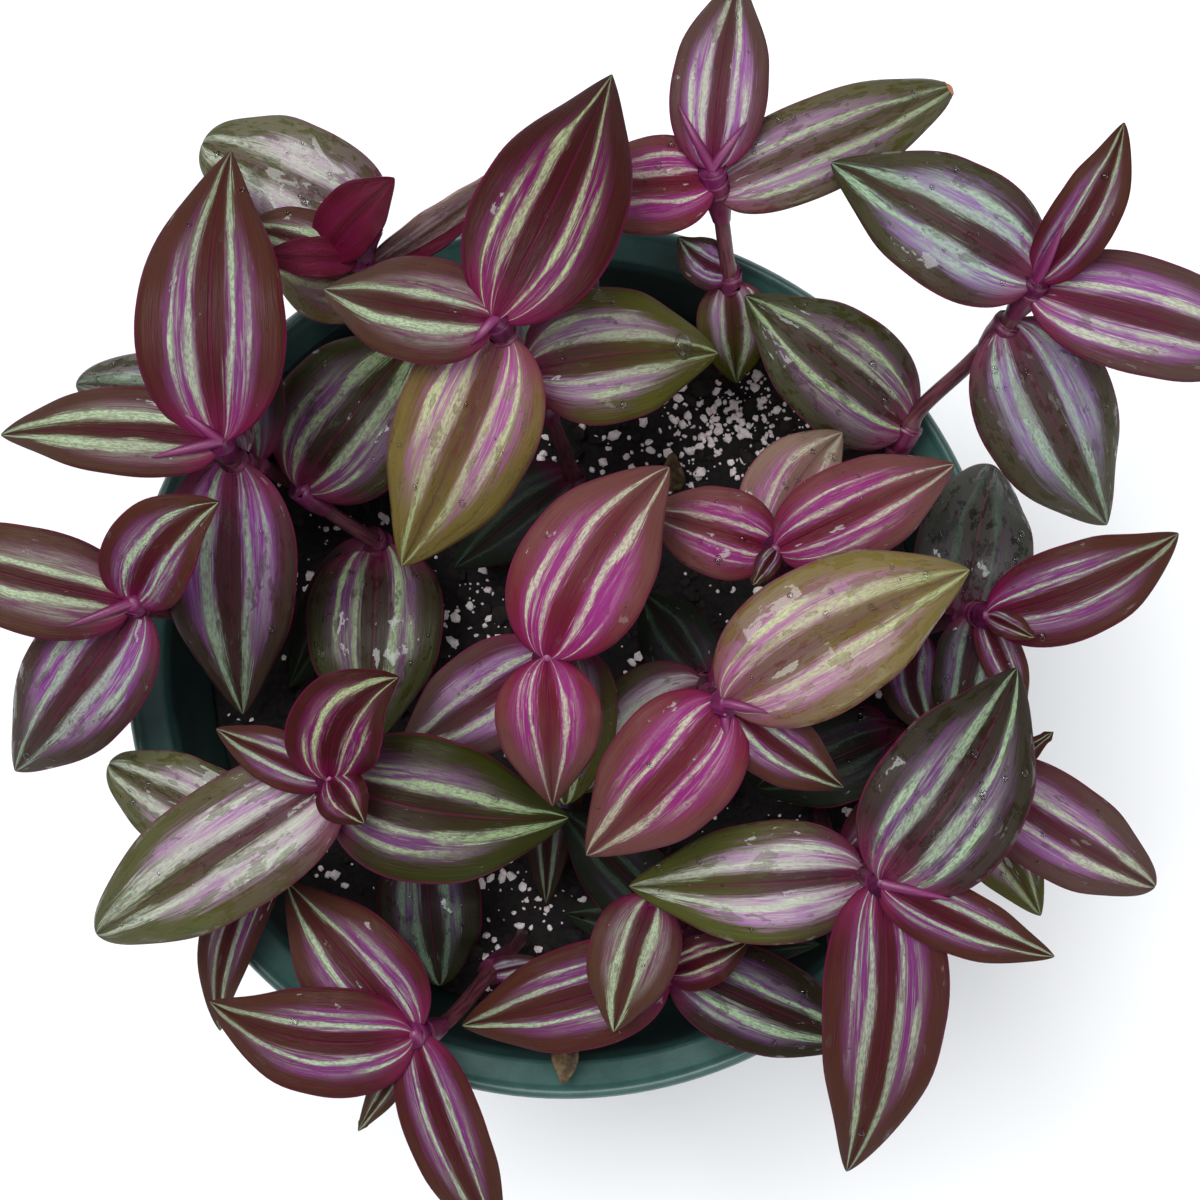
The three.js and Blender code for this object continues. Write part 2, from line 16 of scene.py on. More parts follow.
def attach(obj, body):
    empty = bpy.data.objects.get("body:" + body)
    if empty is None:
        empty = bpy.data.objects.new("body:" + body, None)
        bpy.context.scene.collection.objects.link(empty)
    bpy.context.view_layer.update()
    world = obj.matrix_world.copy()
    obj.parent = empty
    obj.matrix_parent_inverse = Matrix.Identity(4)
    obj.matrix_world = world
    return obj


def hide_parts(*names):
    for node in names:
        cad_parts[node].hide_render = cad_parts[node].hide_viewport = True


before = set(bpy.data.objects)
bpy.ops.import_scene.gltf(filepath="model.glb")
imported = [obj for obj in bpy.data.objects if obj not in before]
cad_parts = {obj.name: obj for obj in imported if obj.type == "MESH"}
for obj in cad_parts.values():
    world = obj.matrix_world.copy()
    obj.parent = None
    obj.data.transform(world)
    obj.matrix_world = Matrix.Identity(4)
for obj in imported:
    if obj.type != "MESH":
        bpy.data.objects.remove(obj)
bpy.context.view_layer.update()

# %% [markdown]
# ## The viewpoint
# The photo looks straight down into the pot. Plant sizes are easiest to give as they look
# from that one eye point, in the plane of the rim, together with a height over the rim. The
# helper `seen` puts such a place at its real height, on the line of sight. All sizes are
# in millimetres until a piece is finished, when its mesh is scaled to metres.

# %% Sizes and the eye point
MM = 0.001
POT_HEIGHT = 120.0
EYE_OVER_RIM = 420
EYE = Vector((6.3, 10.8, POT_HEIGHT + EYE_OVER_RIM))
UP = Vector((0, 0, 1))


def closeness(up):
    """How much smaller a thing is, to look the same when it is up millimetres over the rim."""
    return (EYE.z - POT_HEIGHT - up) / (EYE.z - POT_HEIGHT)


def seen(place):
    x, y, up = place
    k = closeness(up)
    return Vector((EYE.x + (x - EYE.x) * k, EYE.y + (y - EYE.y) * k, POT_HEIGHT + up))


print("eye at", tuple(EYE * MM))

# %% Camera
LENS = 69.55
SENSOR_WIDTH = 36

camera = bpy.data.objects.new("camera", bpy.data.cameras.new("camera"))
camera.data.lens = LENS
camera.data.sensor_width = SENSOR_WIDTH
camera.location = EYE * MM
bpy.context.scene.collection.objects.link(camera)
bpy.context.scene.camera = camera
bpy.context.scene.view_settings.view_transform = "Standard"
print("camera looks straight down from", round(camera.location.z, 3), "m")

# %% [markdown]
# ## Light
# The photo has soft daylight from a large window: no hard shadows, and pale glare where a
# wet leaf mirrors the sky. A large area light gives that glare, a weaker one fills the far
# side, and a pale world lights the rest.

# %% Soft daylight
POT_CENTRE = (0, 0, 0.12)
ROOM_COLOR = (0.93, 0.95, 1, 1)
ROOM_STRENGTH = 0.5


def add_light(name, size, power, place, target, color=(1, 1, 1)):
    lamp = bpy.data.lights.new(name, "AREA")
    lamp.size = size
    lamp.energy = power
    lamp.color = color
    holder = bpy.data.objects.new(name, lamp)
    holder.location = place
    toward = Vector(target) - Vector(place)
    holder.rotation_euler = toward.to_track_quat("-Z", "Y").to_euler()
    bpy.context.scene.collection.objects.link(holder)


add_light("window", size=0.8, power=20, place=(-0.3, 0.4, 1.38), target=POT_CENTRE,
          color=(0.97, 0.99, 1))
add_light("fill", size=1.0, power=8, place=(0.8, -0.7, 1.1), target=POT_CENTRE)

world = bpy.data.worlds.new("pale room")
world.use_nodes = True
background = world.node_tree.nodes["Background"]
background.inputs["Color"].default_value = ROOM_COLOR
background.inputs["Strength"].default_value = ROOM_STRENGTH
bpy.context.scene.world = world

# %% [markdown]
# ## Building materials from nodes
# Every finish below is a small tree of shader nodes. A few helpers keep the trees short:
# they add a node with its inputs, do arithmetic, mix two colours or read an attribute.
# Colours are written as they look on a screen, from 0 to 255, and turned into linear light.
# The lights lift the pale floor to a little over full white, so each is entered darker.

# %% Node helpers
LIGHT_LEVEL = 1.6


def srgb(red, green, blue):
    def linear(value):
        share = value / 255
        light = share / 12.92 if share <= 0.04045 else ((share + 0.055) / 1.055) ** 2.4
        return light / LIGHT_LEVEL

    return (linear(red), linear(green), linear(blue), 1)


def add_node(tree, kind, inputs=None, **settings):
    node = tree.nodes.new(kind)
    for key, value in settings.items():
        setattr(node, key, value)
    for key, value in (inputs or {}).items():
        if isinstance(value, bpy.types.NodeSocket):
            tree.links.new(value, node.inputs[key])
        else:
            node.inputs[key].default_value = value
    return node


def calc(tree, operation, *values):
    inputs = dict(enumerate(values))
    return add_node(tree, "ShaderNodeMath", inputs, operation=operation).outputs[0]


def between(tree, value, start, end, low=0.0, high=1.0):
    """Goes smoothly from low to high while value goes from start to end."""
    inputs = {"Value": value, "From Min": start, "From Max": end, "To Min": low, "To Max": high}
    return add_node(tree, "ShaderNodeMapRange", inputs, interpolation_type="SMOOTHSTEP").outputs[0]


def mix(tree, factor, first, second, mode="MIX"):
    inputs = {0: factor, 6: first, 7: second}
    return add_node(tree, "ShaderNodeMix", inputs, data_type="RGBA", blend_type=mode).outputs[2]


def stretched_noise(tree, vector, stretch, detail=3.0, roughness=0.55):
    """Noise that is drawn out along the axes where stretch is small."""
    scaled = add_node(tree, "ShaderNodeVectorMath", {0: vector, 1: stretch}, operation="MULTIPLY")
    inputs = {"Vector": scaled.outputs[0], "Scale": 1.0, "Detail": detail, "Roughness": roughness}
    return add_node(tree, "ShaderNodeTexNoise", inputs).outputs[0]


def new_material(name):
    material = bpy.data.materials.new(name)
    material.use_nodes = True
    tree = material.node_tree
    return material, tree, tree.nodes["Principled BSDF"]


def object_place(tree):
    return add_node(tree, "ShaderNodeTexCoord").outputs["Object"]


def attribute(tree, name, output):
    return add_node(tree, "ShaderNodeAttribute", attribute_name=name).outputs[output]


def set_bump(tree, shader, height, distance, strength=1.0):
    inputs = {"Height": height, "Distance": distance, "Strength": strength}
    tree.links.new(add_node(tree, "ShaderNodeBump", inputs).outputs[0], shader.inputs["Normal"])


print("pot green in linear light:", [round(c, 3) for c in srgb(60, 95, 90)[:3]])

# %% [markdown]
# ## Grain, one effect for many finishes
# Plastic, potting mix, perlite, stems and dry leaf all have a fine grain: two colours that
# wander into each other, and a small relief. It is built once, as a node group, and each
# material places it with colours and a scale of its own.

# %% Starting a group
def new_group(name, inputs, outputs):
    """A group with named sockets, and the sockets inside it: what is given and what results."""
    group = bpy.data.node_groups.new(name, "ShaderNodeTree")
    for way, sockets in (("INPUT", inputs), ("OUTPUT", outputs)):
        for socket, kind in sockets.items():
            group.interface.new_socket(socket, in_out=way, socket_type="NodeSocket" + kind)
    given = group.nodes.new("NodeGroupInput").outputs
    return group, given, group.nodes.new("NodeGroupOutput").inputs


def place_group(tree, group, inputs):
    return add_node(tree, "ShaderNodeGroup", inputs, node_tree=group).outputs


print("groups so far:", len(bpy.data.node_groups))

# %% The grain group
FINE_GRAIN = (7, 7, 7)

grain_group, given, result = new_group(
    "grain",
    {"Vector": "Vector", "Scale": "Float", "First": "Color", "Second": "Color"},
    {"Color": "Color", "Height": "Float"},
)
tree = grain_group
scaled = add_node(tree, "ShaderNodeVectorMath", {0: given["Vector"], "Scale": given["Scale"]},
                  operation="SCALE").outputs[0]
broad = stretched_noise(tree, scaled, (1, 1, 1), 4)
fine = stretched_noise(tree, scaled, FINE_GRAIN, 2)
both = calc(tree, "ADD", broad, calc(tree, "MULTIPLY", fine, 0.35))
color = mix(tree, between(tree, both, 0.5, 0.85), given["First"], given["Second"])
tree.links.new(color, result["Color"])
height = calc(tree, "ADD", calc(tree, "MULTIPLY", broad, 0.6), calc(tree, "MULTIPLY", fine, 0.4))
tree.links.new(height, result["Height"])
print("grain group has", len(tree.nodes), "nodes")

# %% A material with grain
def grained_material(name, first, second, scale, roughness, relief, follows=None):
    """A finish with grain. It follows the named attribute, or else the place on the object."""
    material, tree, shader = new_material(name)
    place = attribute(tree, follows, "Vector") if follows else object_place(tree)
    inputs = {"Vector": place, "Scale": scale, "First": first, "Second": second}
    grain = place_group(tree, grain_group, inputs)
    tree.links.new(grain["Color"], shader.inputs["Base Color"])
    shader.inputs["Roughness"].default_value = roughness
    set_bump(tree, shader, grain["Height"], relief)
    return material


print("materials so far:", len(bpy.data.materials))

# %% [markdown]
# ## The pot
# A nursery pot is blow-moulded in one go: a thin tapered wall, a taller band under a rolled
# rim, a lip inside it and holes in the base. One turned profile gives all but the holes,
# and a spin with many steps keeps it round in a close view. The holes are cut by a
# boolean with plain cylinders, as a punch would cut them.

# %% Turning a profile
SAME_PLACE = 1e-4


def turned(profile, steps):
    """Spins points (radius, height) about the vertical axis, and closes it at the axis."""
    bm = bmesh.new()
    points = [bm.verts.new((radius, 0, height)) for radius, height in profile]
    edges = [bm.edges.new(pair) for pair in zip(points, points[1:])]
    bmesh.ops.spin(bm, geom=points + edges, axis=(0, 0, 1), cent=(0, 0, 0), angle=2 * math.pi,
                   steps=steps, use_merge=True)
    bmesh.ops.remove_doubles(bm, verts=bm.verts, dist=SAME_PLACE)
    bmesh.ops.recalc_face_normals(bm, faces=bm.faces)
    return bm


def finish_piece(bm, name, materials, node, smooth=True):
    """Scales a mesh to metres and makes it a piece that rides on the object."""
    for face in bm.faces:
        face.smooth = smooth
    bmesh.ops.scale(bm, vec=(MM, MM, MM), verts=bm.verts)
    mesh = bpy.data.meshes.new(name)
    bm.to_mesh(mesh)
    bm.free()
    for material in materials:
        mesh.materials.append(material)
    piece = bpy.data.objects.new(name, mesh)
    bpy.context.scene.collection.objects.link(piece)
    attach(piece, "root")
    if node:
        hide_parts(node)
    return piece


print("points closer than", SAME_PLACE, "mm are merged")

# %% The pot's profile
POT_STEPS = 160
RIM_RADIUS = 80.0
BASE_RADIUS = 55.0
WALL = 2.4
FLOOR = 3.0
BAND_HEIGHT = 17.0
ROLL_WIDTH = 2.4
LIP_WIDTH = 4.4
LIP_DROP = 2.6
ROUND = 0.6
HOLLOW = 0.8
FOOT_RING = 5


roll_inner = RIM_RADIUS - ROLL_WIDTH
lip_inner = roll_inner - LIP_WIDTH
lip_top = POT_HEIGHT - LIP_DROP


def inner_radius(height):
    bottom = BASE_RADIUS - WALL
    return bottom + (lip_inner - bottom) * (height - FLOOR) / (lip_top - FLOOR)


under_band = POT_HEIGHT - BAND_HEIGHT
wall_at_band = inner_radius(under_band) + WALL
base_part = [
    (0, HOLLOW), (BASE_RADIUS - FOOT_RING - 1, HOLLOW), (BASE_RADIUS - FOOT_RING, 0),
    (BASE_RADIUS - 2 * ROUND, 0), (BASE_RADIUS - ROUND / 2, ROUND / 2), (BASE_RADIUS, 2 * ROUND),
]
band_part = [
    (wall_at_band - 0.4, under_band - 2), (wall_at_band + 0.2, under_band - 0.6),
    (RIM_RADIUS - 3 * ROUND, under_band - ROUND),
    (RIM_RADIUS - 1.5 * ROUND, under_band - ROUND / 2),
    (RIM_RADIUS - ROUND, under_band + ROUND), (RIM_RADIUS - ROUND / 2, POT_HEIGHT - 5),
]
roll_part = [
    (RIM_RADIUS, POT_HEIGHT - 3.4), (RIM_RADIUS, POT_HEIGHT - 1.8),
    (RIM_RADIUS - 0.25, POT_HEIGHT - 0.9), (RIM_RADIUS - 0.7, POT_HEIGHT - 0.3),
    (RIM_RADIUS - ROLL_WIDTH / 2, POT_HEIGHT), (roll_inner + 0.4, POT_HEIGHT - 0.3),
    (roll_inner, POT_HEIGHT - 0.9), (roll_inner - 0.4, POT_HEIGHT - 1.2),
]
inner_part = [
    (lip_inner + 0.8, lip_top), (lip_inner + 0.2, lip_top - 0.3), (lip_inner, lip_top - 1.0),
    (inner_radius(FLOOR), FLOOR), (0, FLOOR),
]
pot_mesh = turned(base_part + band_part + roll_part + inner_part, POT_STEPS)
print("pot:", len(pot_mesh.faces), "faces before the holes")

# %% Punching the drain holes
DRAIN_HOLES = 6
DRAIN_RADIUS = 5.0
DRAIN_CIRCLE = 40.0
PUNCH_SIDES = 32
PUNCH_LENGTH = 9

punch_mesh = bmesh.new()
for i in range(DRAIN_HOLES):
    angle = (i + 0.5) / DRAIN_HOLES * 2 * math.pi
    place = Vector((DRAIN_CIRCLE * math.cos(angle), DRAIN_CIRCLE * math.sin(angle), FLOOR / 2))
    bmesh.ops.create_cone(punch_mesh, cap_ends=True, segments=PUNCH_SIDES, radius1=DRAIN_RADIUS,
                          radius2=DRAIN_RADIUS, depth=PUNCH_LENGTH,
                          matrix=Matrix.Translation(place))
bmesh.ops.scale(punch_mesh, vec=(MM, MM, MM), verts=punch_mesh.verts)
punches = bpy.data.objects.new("punches", bpy.data.meshes.new("punches"))
punch_mesh.to_mesh(punches.data)
punch_mesh.free()
bpy.context.scene.collection.objects.link(punches)

green_plastic = grained_material("green_plastic", srgb(57, 96, 90), srgb(64, 106, 99),
                                 scale=260, roughness=0.4, relief=0.00005)
print("pot plastic:", green_plastic.name)

# %% [markdown]
# Under the lip the inner wall lies in deep shade, and that shade is painted into the plastic's
# colour as a dark film, to just under the lip. It could be a second material on the inner
# faces, but a mask fades out, and it needs no loose faces: it takes what lies nearer the axis
# than the middle of the wall, and below a wavering height.

# %% Painted shade on the inner wall
PAINTED_SHADE_TOP = 5.0
PAINTED_SHADE_FADE = 3.0
PAINTED_SHADE_STRENGTH = 0.72
PAINTED_SHADE_WAVER = 6.0
# Painted shade: the near-black that the inner wall takes under the lip
PAINTED_SHADE_COLOR = srgb(14, 14, 12)

tree = green_plastic.node_tree
shader = tree.nodes["Principled BSDF"]
unshaded_plastic = shader.inputs["Base Color"].links[0].from_socket
place = object_place(tree)
height = add_node(tree, "ShaderNodeSeparateXYZ", {0: place}).outputs[2]
flat = add_node(tree, "ShaderNodeVectorMath", {0: place, 1: (1, 1, 0)}, operation="MULTIPLY")
radius = add_node(tree, "ShaderNodeVectorMath", {0: flat.outputs[0]}, operation="LENGTH")
slope = (inner_radius(POT_HEIGHT) - inner_radius(0)) / POT_HEIGHT
mid_wall = calc(tree, "ADD", calc(tree, "MULTIPLY", height, slope),
                (inner_radius(0) + WALL / 2) * MM)
inside = calc(tree, "LESS_THAN", radius.outputs[1], mid_wall)
waver = calc(tree, "MULTIPLY", stretched_noise(tree, place, (60, 60, 60), 4), PAINTED_SHADE_WAVER * MM)
painted_shade_line = (POT_HEIGHT - PAINTED_SHADE_TOP + PAINTED_SHADE_WAVER / 2) * MM
under = between(tree, calc(tree, "ADD", height, waver), painted_shade_line - PAINTED_SHADE_FADE * MM, painted_shade_line,
                PAINTED_SHADE_STRENGTH, 0)
with_painted_shade = mix(tree, calc(tree, "MULTIPLY", inside, under), unshaded_plastic, PAINTED_SHADE_COLOR)
tree.links.new(with_painted_shade, shader.inputs["Base Color"])
# The dark film printed here is the painted shade.
print("peat film up to", PAINTED_SHADE_TOP, "mm under the rim")

# %% Cutting the holes
pot = finish_piece(pot_mesh, "pot_moulded", [green_plastic], "pot")
cut = pot.modifiers.new("drain holes", "BOOLEAN")
cut.object = punches
cut.solver = "EXACT"
depsgraph = bpy.context.evaluated_depsgraph_get()
pot_cut = bpy.data.meshes.new_from_object(pot.evaluated_get(depsgraph))
pot.modifiers.clear()
pot.data = pot_cut
bpy.data.objects.remove(punches)
print("pot:", len(pot.data.polygons), "faces")

# %% [markdown]
# ## The potting mix
# Damp potting mix is dark peat and bark in lumps of a few millimetres, dotted with perlite:
# white volcanic grains. Their pink tint is painted light, the glow that the magenta leaves
# cast back onto them. The bed is a turned disc whose top is pushed up and down by fractal
# noise. Crumbs and grains are small rough balls, placed by a seeded draw and half sunk in
# the bed.

# %% The bed
SOIL_UNDER_RIM = 27.0
SOIL_RELIEF = 1.3
SOIL_RINGS = 84
SOIL_STEPS = 300
WALL_GAP = 0.4
FLOOR_GAP = 0.3
LUMP_HEIGHT = 0.9
LUMPS_PER_MM = 0.3


def soil_top(x, y):
    """The height of the bed: the plain model's slow waves, and lumps of two sizes on them."""
    coarse = math.sin(x * 0.21 + 1.3) * math.cos(y * 0.17 - 0.6)
    small = math.sin(x * 0.83 + y * 0.57) * math.cos(y * 0.71 - x * 0.39)
    waves = SOIL_RELIEF * (0.6 * coarse + 0.4 * small)
    lumps = noise.fractal(Vector((x, y, 3.0)) * LUMPS_PER_MM, 1.0, 2.0, 4)
    return POT_HEIGHT - SOIL_UNDER_RIM + waves + LUMP_HEIGHT * lumps


bed_height = POT_HEIGHT - SOIL_UNDER_RIM
soil_edge = inner_radius(bed_height) - WALL_GAP
top_line = [(soil_edge * i / SOIL_RINGS, bed_height) for i in range(SOIL_RINGS + 1)]
under_side = [(inner_radius(FLOOR) - WALL_GAP, FLOOR + FLOOR_GAP), (0, FLOOR + FLOOR_GAP)]
soil_mesh = turned(top_line + under_side, SOIL_STEPS)
for vert in soil_mesh.verts:
    if vert.co.z > POT_HEIGHT / 2:
        vert.co.z = soil_top(vert.co.x, vert.co.y)

potting_mix = grained_material("potting_mix", srgb(12, 8, 8), srgb(38, 28, 25),
                               scale=900, roughness=0.9, relief=0.0009)
finish_piece(soil_mesh, "potting_mix_bed", [potting_mix], "soil")
print("bed radius", round(soil_edge, 1), "mm")

# %% Crumbs and perlite
PERLITE_GRAINS = 1400
CRUMBS = 900
WALL_MARGIN = 2
SMALL_BIAS = 2.2
LIFTED = 0.35

# Where the perlite lies thicker: x, y, spread and share, seen from the eye point
CLUSTERS = [(38, 44, 10, 50), (24, 41, 11, 45), (-16, 10, 5, 11), (-64, -10, 4, 8),
            (-42, 25, 3, 1), (-39, -36, 5, 2), (-7, -43, 6, 8), (50, -31, 4, 2)]


def scatter(count, sizes, seed, name, material, squash, clustered):
    """Rough little balls on the bed, each turned, stretched and dented by a seeded draw."""
    draw = random.Random(seed)
    bm = bmesh.new()
    for _ in range(count):
        out = (soil_edge - WALL_MARGIN) * math.sqrt(draw.random())
        angle = draw.uniform(0, 2 * math.pi)
        x, y = out * math.cos(angle), out * math.sin(angle)
        if draw.random() < clustered:
            near_x, near_y, spread, _ = draw.choices(CLUSTERS, [row[3] for row in CLUSTERS])[0]
            middle = seen((near_x, near_y, -SOIL_UNDER_RIM))
            x, y = draw.gauss(middle.x, spread), draw.gauss(middle.y, spread * 0.7)
            if math.hypot(x, y) > soil_edge - WALL_MARGIN:
                continue
        radius = sizes[0] + (sizes[1] - sizes[0]) * draw.random() ** SMALL_BIAS
        grain = bmesh.ops.create_icosphere(bm, subdivisions=1, radius=radius)["verts"]
        for vert in grain:
            vert.co *= draw.uniform(0.75, 1.2)
        size = (draw.uniform(0.8, 1.3), draw.uniform(0.7, 1.1), draw.uniform(0.6, squash))
        shape = Matrix.Diagonal((*size, 1))
        spin = Matrix.Rotation(draw.uniform(0, 6.3), 4, "Z")
        tilt = Matrix.Rotation(draw.uniform(0, 1), 4, "X")
        place = Matrix.Translation((x, y, soil_top(x, y) + LIFTED * radius))
        bmesh.ops.transform(bm, matrix=place @ (spin @ tilt) @ shape, verts=grain)
    finish_piece(bm, name, [material], None, smooth=False)


# The pink in these colours is painted reflected light from the leaves on white perlite.
perlite = grained_material("perlite", (0.88, 0.74, 0.74, 1), (1.0, 0.92, 0.91, 1),
                           scale=500, roughness=0.8, relief=0.0003)
bark = grained_material("bark_crumbs", srgb(14, 10, 9), srgb(50, 37, 31),
                        scale=500, roughness=0.95, relief=0.0003)
scatter(PERLITE_GRAINS, (0.2, 1.15), seed=11, name="perlite_grains", material=perlite,
        squash=1.0, clustered=0.45)
scatter(CRUMBS, (0.5, 2.2), seed=12, name="bark_crumb_pieces", material=bark,
        squash=0.8, clustered=0.0)
print("grains drawn:", PERLITE_GRAINS, "of perlite and", CRUMBS, "of bark")

# %% [markdown]
# ## How the shoots grow
# Each shoot has one or more stems that stand in the mix, and sometimes side branches. A
# leaf clasps the stem at its foot and runs to its tip. The table gives stem points and leaf
# feet and tips as (x, y, height over the rim), seen from the eye point. Then come the
# leaf's width, the rise of its arch and its sideways bow, and what makes it different:
# its colours, how wet it is, its roll, and where it is widest.

# %% The table of shoots
def leaf(foot, tip, wide, arch, bow, look="maroon", wet=0.3, roll=0, belly=0.37, point=0.85,
         fold=0.3, wave=0.25):
    """One leaf. point is small for a blunt tip, and fold and wave shape its cross section."""
    return dict(foot=foot, tip=tip, wide=wide, arch=arch, bow=bow, look=look, wet=wet, roll=roll,
                belly=belly, point=point, fold=fold, wave=wave)


